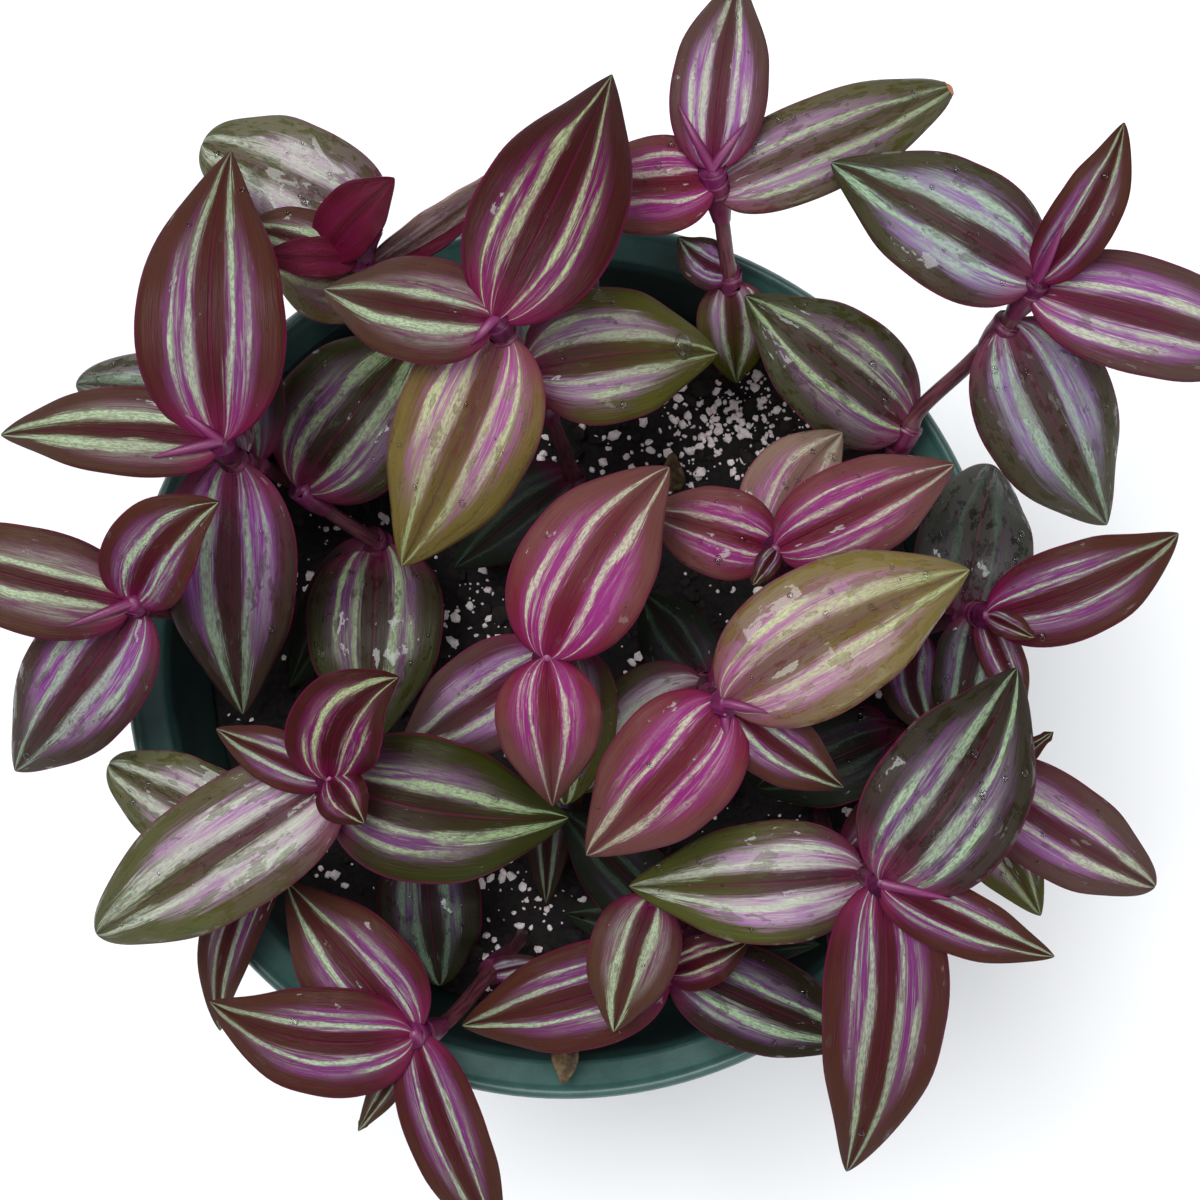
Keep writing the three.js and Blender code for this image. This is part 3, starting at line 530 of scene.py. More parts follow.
SHOOTS = {
    "left_high": dict(
        stems=[[(-49, 32, -27), (-55, 35, 5), (-60.5, 36.5, 30), (-62.3, 39.5, 38)]],
        leaves=[
            leaf((-62.5, 39, 38), (-60.5, 92, 30), 27.5, 7, 1.5, "maroon", 0.08, belly=0.36,
                 point=1),
            leaf((-62, 40, 38), (-102, 40.7, 26), 16.3, 5, -1, "brown", 0.0, belly=0.34),
            leaf((-60.5, 36, 28), (-58.4, -9.7, -2), 24.5, 2, -1, "violet", 0.42),
            leaf((-60, 36.5, 24), (-88.4, 49.8, 12), 17.5, 4, -3.5, "slate", 0.9, point=0.6),
            leaf((-57, 35.5, 12), (-64, 72, 4), 18, 5, 0, "shade", 0.1),
        ],
    ),
    "left_edge": dict(
        stems=[[(-52, 10, -27), (-63, 9, 0), (-70, 8.8, 6), (-75.5, 9, 16), (-78.5, 10.5, 28)]],
        leaves=[
            leaf((-79, 11, 27), (-120, 22, 23), 19.5, 4, 1, "brown", 0.15),
            leaf((-77, 9, 24), (-99.5, -20, 3), 23, 6, 1, "violet", 0.4),
            leaf((-76.5, 9, 26), (-62.7, 28.5, 38), 17.5, 3, 2.5, "maroon", 0.2, fold=0.6),
        ],
    ),
    "back_left": dict(
        stems=[[(-24, 52, -27), (-29, 61, -8), (-35, 70, 14), (-37.5, 73, 25)]],
        branches=[[(-36, 71.5, 17), (-36, 75, 20), (-35, 78, 21)],
                  [(-37.5, 73, 24), (-44, 73.5, 25)]],
        leaves=[
            leaf((-35, 78.5, 21), (-65.5, 93.5, 18), 22.5, 4, -0.5, "silver", 0.7, point=0.45),
            leaf((-44, 73.5, 25), (-31, 87.3, 34), 12, 3, 0, "maroon", 0, roll=180),
            leaf((-40, 73, 24), (-58.5, 78.5, 24), 12, 3, 0, "brown", 0.2),
            leaf((-33.5, 68.5, 9), (-53.5, 71.5, 4), 17.5, 3, 0.5, "straw", 0.6),
            leaf((-35, 71, 17), (-8, 91.5, 20), 5, 1, -1.5, "pink", 0.8, roll=60),
            leaf((-37, 72.5, 25), (-55.5, 73.2, 28.5), 7.5, 2.5, 0.5, "maroon", 0, roll=180),
            leaf((-35, 70.5, 16), (-14.5, 82.5, 17), 4.5, 1, -1.2, "maroon", 0, roll=180),
        ],
    ),
    "left_inner": dict(
        stems=[[(-29, 19, -27), (-36, 22.5, -9), (-43, 27, -2), (-48, 31, 3)]],
        leaves=[
            leaf((-48, 31, 3), (-25, 60, 0), 27.5, 6, 0, "green", 0.4),
            leaf((-34, 21, -13), (-34.5, -15, -8), 25, 6, 0, "green", 0.45),
            leaf((-36, 22, -11), (-50, -5, -20), 12, 1, 0, "deep_shade", 0.2),
        ],
    ),
    "back_high": dict(
        stems=[[(2, 31, -27), (-1.5, 41, 8), (-8, 54, 40), (-12.8, 61.5, 54)]],
        leaves=[
            leaf((-12.5, 62, 54), (8.4, 105.8, 40), 27.5, 6, -1, "crimson", 0.0, point=1),
            leaf((-14, 62, 54), (-43.5, 67, 38), 19.5, 5, 1, "brown", 0.05),
            leaf((-11, 59, 50), (-29.5, 17.2, 22), 26.5, 5, 1.2, "straw", 0.45),
            leaf((-6.5, 52, 36), (27.5, 55.5, 22), 25, 5, 1, "olive", 0.3),
            leaf((1, 34, -16), (-20, 16.7, -15), 15, 3, 0, "deep_shade", 0.1),
            leaf((-4, 47, 22), (3, 84, 4), 18, 7, 2, "shade", 0.2),
        ],
    ),
    "back_edge": dict(
        stems=[[(28.5, 53, -27), (30, 63, 0), (29.5, 70, 12), (28, 82, 21), (26.6, 88.8, 28)]],
        leaves=[
            leaf((27, 90, 28), (31.5, 123.5, 22), 17.7, 4, 0.8, "mauve", 0.2),
            leaf((28, 85.5, 24), (69.8, 103.5, 12), 17.5, 5, -0.7, "olive", 0.6, point=0.6),
            leaf((27.5, 87.5, 26), (0, 84, 16), 18, 4, 0.5, "rosy", 0.3),
            leaf((29, 70, 12), (20.5, 76.5, 19), 9, 1, 1, "violet", 0.2),
            leaf((29.5, 69, 9), (31, 50.3, -2), 13.5, 3, 0, "olive", 0.2, fold=0.6),
        ],
    ),
    "back_right_edge": dict(
        stems=[[(50, 31, -27), (56, 35.5, -8), (61, 39.5, 5), (64, 45, 9), (73, 53.5, 16),
                (80, 61, 25), (85.5, 68.8, 34)]],
        leaves=[
            leaf((85, 69, 34), (48.3, 89.9, 27), 24.5, 5, 0, "slate", 0.45),
            leaf((87, 70, 35), (101.2, 97.2, 44), 12.3, 3, -1.5, "maroon", 0.1),
            leaf((85.5, 67, 32), (131, 54, 20), 21.5, 5, 0, "mauve", 0.25),
            leaf((80.5, 60.5, 25), (98, 24.6, 0), 26, 5, -1.5, "slate", 0.5),
            leaf((62.5, 42, 7), (32.7, 65.8, 12), 22.5, 5, 0.5, "green", 0.5),
            leaf((60.5, 39, 3), (45, 35.5, -4), 11, 1, 0, "deep_shade", 0.2),
        ],
    ),
    "right_edge": dict(
        stems=[[(57, 4, -27), (66, 6, -4), (72, 8, 13), (76.5, 8, 28)]],
        leaves=[
            leaf((76.5, 8, 28), (110.9, 22.8, 32), 17.5, 5, -1.8, "maroon", 0.1),
            leaf((74.5, 8, 22), (69.5, -15, 14), 13, 4, 0, "shade", 0.3),
            leaf((76, 8, 25), (83, -10, 16), 8, 3, 0, "maroon", 0.2),
            leaf((76.5, 8, 28), (85, 4, 34), 5, 1, 0, "maroon", 0),
            leaf((72.5, 8.5, 15), (77.5, 35, 3), 21.5, 6, 1.5, "deep_shade", 0.55, point=0.6),
            leaf((64, 5.5, -8), (67, -14, 5), 12, 2, -3, "violet", 0.2),
        ],
    ),
    "right_inner": dict(
        stems=[[(40, 12, -27), (36, 17, 0), (36.5, 20, 20), (38.2, 20, 38)]],
        leaves=[
            leaf((38.2, 20, 38), (70.3, 35.3, 30), 18.5, 5, 0, "rosy", 0.35),
            leaf((38, 20, 35), (14, 27, 28), 16.5, 4, 0, "rosy", 0.3),
            leaf((38.2, 20, 38), (34, 13.5, 42), 4.5, 1, 0, "maroon", 0),
            leaf((37.5, 20, 27), (50, 41, 14), 18, 4, 2, "pink", 0.4),
            leaf((37, 19, 8), (61, 30, 0), 14, 5, 0, "deep_shade", 0.2),
        ],
    ),
    "centre_right": dict(
        stems=[[(30, -3, -27), (25.5, -3.5, 2), (26.5, -6.5, 28), (29, -7.8, 51)]],
        leaves=[
            leaf((29, -7.5, 51), (73, 16.2, 43), 27, 6, 2, "straw", 0.58),
            leaf((29, -8, 50), (4, -35.3, 36), 23.5, 6, 0.5, "rosy", 0.2, belly=0.36),
            leaf((29, -8, 49), (50.3, -23, 41), 13.5, 3, -0.7, "maroon", 0.1),
            leaf((26, -4, 5), (14, 12, -4), 14, 3, 0, "deep_shade", 0.2),
            leaf((26, -5, 13), (3, -24, 6), 19, 4, -2, "silver", 0.4),
            leaf((27, -6.5, 30), (63, 10, 18), 20, 6, 0, "shade", 0.3),
        ],
    ),
    "centre": dict(
        stems=[[(-4, 6, -27), (0, 3, 5), (-0.5, 1.5, 28), (-3.3, 0.3, 49)]],
        leaves=[
            leaf((-3.5, 0.5, 49), (18.7, 34.7, 43), 25, 6, 2.5, "rosy", 0.15),
            leaf((-3, 0, 49), (-2.3, -26.3, 33), 19.3, 7, 0, "rosy", 0.0, point=1),
            leaf((-3, 0.5, 38), (-30, -17, 12), 19, 1, 0, "mauve", 0.2),
            leaf((-1.5, 1, 20), (0, -26, 13), 19, 3, 0, "olive", 0.4, point=0.6),
            leaf((-1, 4, -8), (-3.5, -44, -14), 12, 2, 0, "violet", 0.2, belly=0.5),
            leaf((-1, 1.5, 26), (11, 27, 18), 17, 5, 1, "deep_shade", 0.2),
        ],
    ),
    "front_left": dict(
        stems=[[(-36, -20, -27), (-38, -23, -4), (-41.5, -23.5, 18), (-42.6, -21.5, 38)]],
        branches=[[(-38, -22.5, -14), (-31, -29, -13), (-25, -35, -13)],
                  [(-39.5, -23, 3), (-48, -30, 8), (-55, -33, 11)]],
        leaves=[
            leaf((-42.6, -21.5, 38), (-30.2, -3.2, 47), 18, 3, 3.5, "crimson", 0, fold=0.5),
            leaf((-42.6, -21.5, 38), (-36.5, -29.5, 41), 10, 2, 0, "crimson", 0),
            leaf((-43, -21.5, 37), (-63, -12.6, 33), 10.3, 3, 0, "maroon", 0),
            leaf((-42, -22, 33), (-84.7, -49.6, 14), 24, 7, 0, "silver", 0.5, point=0.6),
            leaf((-42, -22, 29), (0.4, -28.6, 23), 27, 7, -1.5, "green", 0.15),
            leaf((-55, -33, 11), (-82.5, -19, 8), 18, 3, 0, "silver", 0.6, point=0.5),
            leaf((-51, -31.5, 9), (-62.5, -67, -3), 11, 7, -3, "maroon", 0.1),
            leaf((-25, -34.5, -13), (-22.7, -58.8, -12), 19, 4, 0, "shade", 0.3, point=0.6),
        ],
    ),
    "front_left_edge": dict(
        stems=[[(-8, -50, -27), (-13, -56, -6), (-22, -66, 11), (-27.7, -68, 21)]],
        leaves=[
            leaf((-27, -67, 20), (-50.2, -40.5, 13), 20.5, 4, 0, "maroon", 0.05),
            leaf((-27.7, -68, 21), (-64.2, -62, 16), 20, 4, 3, "maroon", 0.05, belly=0.35),
            leaf((-27, -68, 20), (-11, -107, 4), 14.5, 5, -0.8, "maroon", 0.05),
            leaf((-27, -68, 18), (-37.4, -85.2, 9), 6, 2, 0, "brown", 0),
            leaf((-13, -56.5, -5), (-4, -54.5, 0), 5, 1, 0, "violet", 0),
        ],
    ),
    "front_right": dict(
        stems=[[(46, -28, -27), (48, -33, 5), (52.5, -38, 30), (57.5, -40.5, 47)]],
        leaves=[
            leaf((57, -40, 47), (81.7, -1.7, 40), 28.5, 6, -1, "dusk", 0.45),
            leaf((57, -41, 46), (51, -92.5, 24), 23, 6, 2.5, "maroon", 0.15, belly=0.35),
            leaf((57.5, -41, 47), (88.4, -53.7, 40), 12.5, 3, -0.7, "maroon", 0.05, belly=0.34),
            leaf((52, -37.5, 27), (54, -76, 17), 15, 6, 2, "shade", 0.2),
            leaf((51, -37, 22), (74, -12, 25), 16, 5, -2, "green", 0.2),
            leaf((54, -38.5, 36), (11.8, -41, 26), 22.5, 5, 0, "silver", 0.35),
        ],
    ),
    "front_inner": dict(
        stems=[[(21, -46, -27), (20, -53, 5), (18.5, -56.5, 16)]],
        branches=[[(20.3, -52, 2), (19, -47, 16), (16, -43, 24)]],
        leaves=[
            leaf((16, -43.5, 24), (8.8, -67.2, 23), 16.5, 3, -0.7, "brown", 0.05),
            leaf((18.5, -56, 15), (-18.5, -66.2, 8), 19.4, 4, 0, "maroon", 0.1),
            leaf((18.5, -56.5, 16), (33.3, -50.9, 20), 10, 2, 0, "crimson", 0, fold=0.6),
            leaf((19.5, -55, 12), (54, -69.5, 6), 18.5, 4, 0, "dusk", 0.35),
            leaf((20, -52, 0), (46, -51.5, 3), 8, 2, 0, "deep_shade", 0.2),
            leaf((20.5, -48, -13), (-1, -27, -6), 15, 3, 0, "deep_shade", 0.1),
            leaf((20.5, -48, -16), (0, -46, -18), 11, 1, 0, "deep_shade", 0.1),
        ],
    ),
    "right_low": dict(
        stems=[[(54, -12, -27), (62, -14, -7), (70, -19, 8), (76, -21.5, 18)]],
        leaves=[
            leaf((75, -21.5, 17), (106.7, -41, 10), 18.5, 4, -0.5, "mauve", 0.25, point=0.6),
            leaf((69, -19.5, 6), (86, -46.2, 3), 15, 5, 0, "olive", 0.3),
            leaf((76, -21.5, 18), (88.4, -13.1, 27), 5, 1, 0, "maroon", 0),
            leaf((60, -13.5, -12), (35, -23, -10), 17, 5, 0, "deep_shade", 0.3, point=0.6),
        ],
    ),
}

leaf_count = sum(len(shoot["leaves"]) for shoot in SHOOTS.values())
print(len(SHOOTS), "shoots with", leaf_count, "leaves")

# %% [markdown]
# ## Leaf colours
# Every blade has the same drawing: dark bands at the midrib and the edges, and between them
# on each side a purple stripe with feathery silver lines that take over towards the tip.
# Its colours change with age and light, so each leaf takes one of a few named looks: the
# band near the stem, the band near the tip, the silver, the purple, and then how strong the
# purple is and how much silver runs in it. The last two looks are the leaf colours darkened
# by painted shade, for leaves that lie low and deep in the plant.

# %% Named looks
def look(foot_band, tip_band, silver, purple, purpleness, paleness):
    """Four colours as on a screen, how strong the purple is, and how much silver is in it."""
    screen_colors = (foot_band, tip_band, silver, purple)
    return [srgb(*color) for color in screen_colors], purpleness, paleness


LOOKS = {
    "crimson": look((70, 8, 20), (64, 22, 18), (184, 200, 148), (112, 22, 86), 0.95, 0.08),
    "maroon": look((78, 18, 28), (80, 42, 30), (182, 206, 166), (120, 48, 110), 1.0, 0.12),
    "brown": look((74, 26, 30), (84, 54, 40), (192, 214, 172), (122, 58, 104), 0.6, 0.42),
    "rosy": look((110, 20, 40), (116, 68, 64), (206, 206, 176), (148, 42, 118), 1.0, 0.08),
    "pink": look((132, 80, 84), (150, 120, 104), (210, 204, 174), (168, 90, 144), 0.95, 0.25),
    "straw": look((108, 68, 52), (128, 110, 48), (204, 218, 156), (174, 94, 156), 1.1, 0.28),
    "olive": look((84, 50, 44), (80, 78, 22), (184, 202, 156), (150, 102, 148), 1.0, 0.25),
    "green": look((48, 28, 20), (50, 52, 8), (170, 196, 144), (108, 56, 106), 0.9, 0.22),
    "silver": look((88, 54, 60), (84, 86, 34), (206, 216, 190), (176, 116, 174), 1.2, 0.5),
    "slate": look((68, 36, 44), (62, 58, 28), (174, 206, 170), (138, 94, 158), 1.2, 0.35),
    "violet": look((88, 34, 54), (66, 48, 36), (174, 202, 166), (138, 62, 142), 1.3, 0.25),
    "mauve": look((98, 38, 56), (92, 66, 60), (204, 214, 182), (150, 82, 152), 1.25, 0.25),
    "dusk": look((50, 18, 22), (40, 34, 14), (170, 200, 156), (104, 54, 110), 1.05, 0.2),
    # Painted shade: the two looks below are darker copies for leaves in the plant's shade.
    "shade": look((54, 32, 40), (46, 46, 28), (130, 160, 128), (94, 52, 102), 1.0, 0.35),
    "deep_shade": look((38, 36, 32), (34, 42, 28), (76, 98, 78), (60, 42, 60), 0.7, 0.2),
}
print("looks:", ", ".join(LOOKS))

# %% [markdown]
# The drawing follows the blade, so it can't come from the place in space. Each point of a
# blade carries an attribute, `flow`: its share along the blade, its place across from -1
# to 1, and a number of the leaf's own, so that no two leaves have the same streaks. A
# second one, `pattern`, holds how strong the purple is, how much silver runs in it and how
# wet the leaf is. The same drawing is faint on the underside, so it is a node group too.

# %% The leaf drawing as a node group
drawing_group, given, result = new_group(
    "leaf drawing",
    {"Flow": "Vector", "Foot band": "Color", "Tip band": "Color", "Silver": "Color",
     "Purple": "Color", "Pattern": "Vector", "Blush": "Color"},
    {"Color": "Color", "Height": "Float", "Wet": "Float"},
)
tree = drawing_group
flow = add_node(tree, "ShaderNodeSeparateXYZ", {0: given["Flow"]}).outputs
pattern = add_node(tree, "ShaderNodeSeparateXYZ", {0: given["Pattern"]}).outputs
along, side = flow[0], calc(tree, "ABSOLUTE", flow[1])
purpleness, paleness, wetness = pattern[0], pattern[1], pattern[2]


def leaf_noise(stretch, detail=3.0, roughness=0.55):
    return stretched_noise(tree, given["Flow"], stretch, detail, roughness)


streaks = leaf_noise((1.8, 20, 5), 4, 0.75)
feather = leaf_noise((8, 36, 5), 3, 0.7)
speckle = leaf_noise((46, 34, 5), 2, 0.6)
thread = leaf_noise((5, 60, 5), 2, 0.6)
wander = leaf_noise((1.6, 1.2, 9), 1)
cloud = leaf_noise((4, 3, 5), 4, 0.6)
sheen_noise = leaf_noise((11, 6, 23), 4, 0.62)
swell = leaf_noise((1.3, 0.9, 17), 1)
print("eight noises run along the blade")

# %% Arithmetic in the leaf drawing
def times(*values):
    result = values[0]
    for value in values[1:]:
        result = calc(tree, "MULTIPLY", result, value)
    return result


def plus(*values):
    result = values[0]
    for value in values[1:]:
        result = calc(tree, "ADD", result, value)
    return result


def swing(noise_value, size):
    """A noise, which keeps to about 0.3 to 0.7, turned into one from about -size to size."""
    return calc(tree, "MULTIPLY", calc(tree, "SUBTRACT", noise_value, 0.5), 5 * size)


def away_from(value, place):
    return calc(tree, "ABSOLUTE", calc(tree, "SUBTRACT", value, place))


across = plus(side, swing(wander, 0.06))
frayed = plus(swing(streaks, 0.9), swing(feather, 0.7))
uneven = between(tree, leaf_noise((3.2, 1.4, 29), 1), 0.38, 0.62, 0.55, 1.35)
toward_tip = between(tree, along, 0.45, 1)
print("leaf drawing has", len(tree.nodes), "nodes so far")

# %% Silver lines and purple stripe
# Two silver lines run along each half of the blade, with purple round them. The outer line
# and the purple fade before the tip, where the inner line goes on alone.
INNER_LINE_AT = 0.31
OUTER_LINE_AT = 0.55


def silver_line(place, width, strength):
    """A line along the blade at a place across it, breaking up into streaks at its edges."""
    wide = times(plus(width, times(paleness, 0.13)), between(tree, along, 0, 0.3, 0.4, 1), uneven)
    off = calc(tree, "DIVIDE", away_from(across, place), wide)
    return times(between(tree, plus(off, times(frayed, 0.75)), 0.4, 1.35, 1, 0), strength)


inner_line = silver_line(plus(INNER_LINE_AT, swing(swell, 0.05)),
                         plus(0.034, times(toward_tip, 0.042)),
                         between(tree, swell, 0.4, 0.6, 0.7, 1))
outer_strength = times(between(tree, swell, 0.42, 0.56, 0.95, 0.1),
                       between(tree, purpleness, 0.5, 1),
                       between(tree, plus(along, times(frayed, 0.07)), 0.35, 0.7, 1, 0))
outer_line = silver_line(OUTER_LINE_AT, 0.028, outer_strength)
outer_limit = times(toward_tip, 0.25)
purple = times(between(tree, plus(across, times(frayed, 0.035)), 0.15, 0.27),
               between(tree, plus(across, times(frayed, 0.1), outer_limit), 0.5, 0.78, 1, 0),
               between(tree, plus(along, times(frayed, 0.14)), 0.4, 1.0, 1, 0), purpleness)
lilac_share = plus(times(frayed, 0.55), times(paleness, 0.7), times(toward_tip, 0.3))
lilac_share = between(tree, lilac_share, 0.0, 0.9, 0, 0.75)
print("silver lines at", INNER_LINE_AT, "and", OUTER_LINE_AT, "of the half width")

# %% Colours of the dry blade
VEIN_RED = srgb(44, 8, 16)

ageing = plus(times(along, 0.9), times(side, 0.3), swing(cloud, 0.12))
band = mix(tree, between(tree, ageing, 0.15, 0.85), given["Foot band"], given["Tip band"])
lilac = mix(tree, lilac_share, given["Purple"], given["Silver"])
color = mix(tree, calc(tree, "MINIMUM", purple, 1.0), band, lilac)
foot_blush = between(tree, plus(along, times(frayed, 0.02)), 0, 0.22, 0.58, 0)
color = mix(tree, foot_blush, color, given["Blush"])
silver = times(calc(tree, "MAXIMUM", inner_line, outer_line),
               between(tree, speckle, 0.4, 0.56, 0.5, 1))
color = mix(tree, silver, color, given["Silver"])
color = mix(tree, between(tree, side, 0.0, 0.04, 0.3, 0), color, given["Blush"])
color = mix(tree, between(tree, side, 0.95, 0.985, 0, 0.5), color, given["Blush"])
veins = between(tree, thread, 0.25, 0.75, 0.84, 1.14)
vein_tint = add_node(tree, "ShaderNodeCombineColor", {0: veins, 1: veins, 2: veins}).outputs[0]
color = mix(tree, 1.0, color, vein_tint, "MULTIPLY")
color = mix(tree, between(tree, side, 0.0, 0.3, 0.25, 0), color, VEIN_RED)
print("leaf drawing has", len(tree.nodes), "nodes so far")

# %% Water and painted sheen on the blade
# Water lies in patches with crisp edges, where the colours are deeper. Round them a pale
# sheen is painted in: a painted reflection of the sky on the damp blade.
PAINTED_SHEEN_COLOR = srgb(164, 150, 150)
UNDER_WATER = srgb(40, 24, 8)

puddle = leaf_noise((8, 5, 13), 4, 0.6)
wet = between(tree, plus(puddle, times(wetness, 0.2)), 0.66, 0.7)
hazy = between(tree, wetness, 0.3, 1.0)
dry = calc(tree, "SUBTRACT", 1.0, calc(tree, "MAXIMUM", wet, times(silver, 0.7)))
# Painted reflection: a pale sheen mixed into the colour where no water or silver lies.
painted_sheen = times(dry, hazy, between(tree, sheen_noise, 0.41, 0.46, 0.0, 0.38))
color = mix(tree, painted_sheen, color, PAINTED_SHEEN_COLOR)
color = mix(tree, times(wet, 0.45), color, mix(tree, 0.25, given["Tip band"], UNDER_WATER))
tree.links.new(color, result["Color"])
tree.links.new(calc(tree, "MAXIMUM", wet, times(hazy, 0.2)), result["Wet"])
groove = between(tree, side, 0.0, 0.05, -0.6, 0)
relief = plus(groove, times(thread, 0.5), times(wet, 0.3), times(hazy, speckle, 0.7))
tree.links.new(relief, result["Height"])
print("leaf drawing has", len(tree.nodes), "nodes")

# %% Leaf materials
def leaf_inputs(tree):
    names = {"Foot band": "foot_band", "Tip band": "tip_band", "Silver": "silver",
             "Purple": "purple"}
    inputs = {socket: attribute(tree, name, "Color") for socket, name in names.items()}
    inputs["Flow"] = attribute(tree, "flow", "Vector")
    inputs["Pattern"] = attribute(tree, "pattern", "Vector")
    return inputs


PINK_BLUSH = srgb(136, 18, 80)

leaf_upper, tree, shader = new_material("striped_leaf")
drawing = place_group(tree, drawing_group, {**leaf_inputs(tree), "Blush": PINK_BLUSH})
tree.links.new(drawing["Color"], shader.inputs["Base Color"])
tree.links.new(between(tree, drawing["Wet"], 0, 1, 0.4, 0.14), shader.inputs["Roughness"])
tree.links.new(calc(tree, "MULTIPLY", drawing["Wet"], 0.6), shader.inputs["Coat Weight"])
shader.inputs["Coat Roughness"].default_value = 0.05
shader.inputs["Specular IOR Level"].default_value = 0.1
set_bump(tree, shader, drawing["Height"], 0.00025)

UNDERSIDE = {
    "Pattern": (0.7, 0.2, 0.0), "Foot band": srgb(98, 5, 40), "Tip band": srgb(88, 6, 34),
    "Silver": srgb(108, 14, 54), "Purple": srgb(106, 8, 50), "Blush": srgb(116, 8, 58),
}

leaf_under, tree, shader = new_material("leaf_underside")
flow = attribute(tree, "flow", "Vector")
drawing = place_group(tree, drawing_group, {"Flow": flow, **UNDERSIDE})
tree.links.new(drawing["Color"], shader.inputs["Base Color"])
shader.inputs["Roughness"].default_value = 0.5
shader.inputs["Specular IOR Level"].default_value = 0.15
set_bump(tree, shader, drawing["Height"], 0.0002)
print("leaf materials:", leaf_upper.name, leaf_under.name)

# %% Skins of stems, sheaths and rolled edges
stem_skin = grained_material("stem_skin", srgb(66, 18, 32), srgb(118, 58, 70),
                             scale=3, roughness=0.42, relief=0.00015, follows="flow")
sheath_skin = grained_material("leaf_sheath", srgb(92, 16, 54), srgb(128, 44, 88),
                               scale=1, roughness=0.4, relief=0.0001, follows="flow")
rolled_skin = grained_material("rolled_edge", srgb(108, 12, 74), srgb(136, 34, 102),
                               scale=1, roughness=0.4, relief=0.0001, follows="flow")
print("skins:", stem_skin.name, sheath_skin.name, rolled_skin.name)

# %% [markdown]
# ## Stem curves
# A stem is a smooth curve through its points. The centripetal Catmull-Rom curve passes
# through every point without loops, which is why it is used for both the plain model and
# this one. A rooted stem first goes straight down into the mix.

# %% Curves through points
HOLE_DEPTH = 9.0
STRAIGHT_START = 3.0
PER_SPAN = 14


def smooth_curve(points):
    ends = [2 * points[0] - points[1], *points, 2 * points[-1] - points[-2]]
    curve = []
    for p0, p1, p2, p3 in zip(ends, ends[1:], ends[2:], ends[3:]):
        t0, t1 = 0.0, (p1 - p0).length ** 0.5
        t2 = t1 + (p2 - p1).length ** 0.5
        t3 = t2 + (p3 - p2).length ** 0.5
        for i in range(PER_SPAN):
            t = t1 + (t2 - t1) * i / PER_SPAN
            a1 = p0.lerp(p1, (t - t0) / (t1 - t0))
            a2 = p1.lerp(p2, (t - t1) / (t2 - t1))
            a3 = p2.lerp(p3, (t - t2) / (t3 - t2))
            b1 = a1.lerp(a2, (t - t0) / (t2 - t0))
            b2 = a2.lerp(a3, (t - t1) / (t3 - t1))
            curve.append(b1.lerp(b2, (t - t1) / (t2 - t1)))
    return curve + [points[-1]]


def stem_curve(points, rooted):
    places = [seen(point) for point in points]
    if rooted:
        foot = places[0]
        places[0:1] = [foot - HOLE_DEPTH * UP, foot, foot + STRAIGHT_START * UP]
    return smooth_curve(places)


def nearest(curves, place):
    """The curve, and the number of the point on it, that lie nearest to a place."""
    tries = [((point - place).length, c, i)
             for c, curve in enumerate(curves) for i, point in enumerate(curve)]
    return min(tries)[1:]


print("a curve has", PER_SPAN, "points from one given point to the next")

# %% [markdown]
# ## Stems and sheaths
# A stem is a round rod that thickens at each joint, where a leaf clasps it. Below every
# leaf its base forms a short purple tube round the stem, the sheath. Both are swept: a
# circle is extruded from station to station, and each new ring is moved, turned and
# scaled to its place.

# %% Sweeping a tube
STEM_RADIUS = 1.6
BRANCH_RADIUS = 1.3
STEM_SIDES = 14
GRAIN_ALONG = 0.08
GRAIN_ROUND = 1.2


def sweep(bm, flow, curve, radii, phase):
    """Extrudes a circle along a curve, one ring for each of its points."""
    tangents = [(b - a).normalized() for a, b in zip(curve, curve[1:])]
    tangents.append(tangents[-1])
    turn = UP.rotation_difference(tangents[0]).to_matrix()
    ring = bmesh.ops.create_circle(bm, segments=STEM_SIDES, radius=1, cap_ends=False)["verts"]
    edges = list(dict.fromkeys(edge for vert in ring for edge in vert.link_edges))
    last_place, travelled, before = Matrix.Identity(4), 0.0, curve[0]
    for i, (point, tangent, radius) in enumerate(zip(curve, tangents, radii)):
        if i:
            grown = bmesh.ops.extrude_edge_only(bm, edges=edges)["geom"]
            ring = [part for part in grown if isinstance(part, bmesh.types.BMVert)]
            chosen = set(ring)
            edges = [part for part in grown if isinstance(part, bmesh.types.BMEdge)
                     and part.verts[0] in chosen and part.verts[1] in chosen]
            turn = tangents[i - 1].rotation_difference(tangent).to_matrix() @ turn
        place = Matrix.Translation(point) @ turn.to_4x4() @ Matrix.Scale(radius, 4)
        bmesh.ops.transform(bm, matrix=place @ last_place.inverted(), verts=ring)
        last_place = place
        travelled += (point - before).length
        before = point
        back = turn.transposed()
        for vert in ring:
            out = (back @ (vert.co - point)) / radius
            vert[flow] = Vector((travelled * GRAIN_ALONG, out.x * GRAIN_ROUND,
                                 out.y * GRAIN_ROUND + phase))
    return edges


def cap(bm, flow, edges, place):
    """Closes a tube's end with a low cone."""
    tip = bm.verts.new(place)
    tip[flow] = edges[0].verts[0][flow]
    for edge in edges:
        bm.faces.new((*edge.verts, tip))


def onward(curve):
    """The direction in which a curve ends."""
    return (curve[-1] - curve[-2]).normalized()


print("stem sides:", STEM_SIDES)

# %% A shoot's stems
STEM_TAPER = 0.2
JOINT_SWELL = 0.28
JOINT_REACH = 1.8
SHEATH_LENGTH = 6.5
SHEATH_FIT = 0.42
SHEATH_FLARE = 0.12
MOUTH_OUT = 0.5
MOUTH_IN = 0.6


def stem_radii(curve, joints, radius):
    """A stem's radius at each point of its curve: a little thicker at every joint."""
    radii = []
    for i, point in enumerate(curve):
        near = min([(point - curve[j]).length for j in joints], default=99)
        taper = 1 - STEM_TAPER * i / len(curve)
        radii.append(radius * taper * (1 + JOINT_SWELL * math.exp(-((near / JOINT_REACH) ** 2))))
    return radii


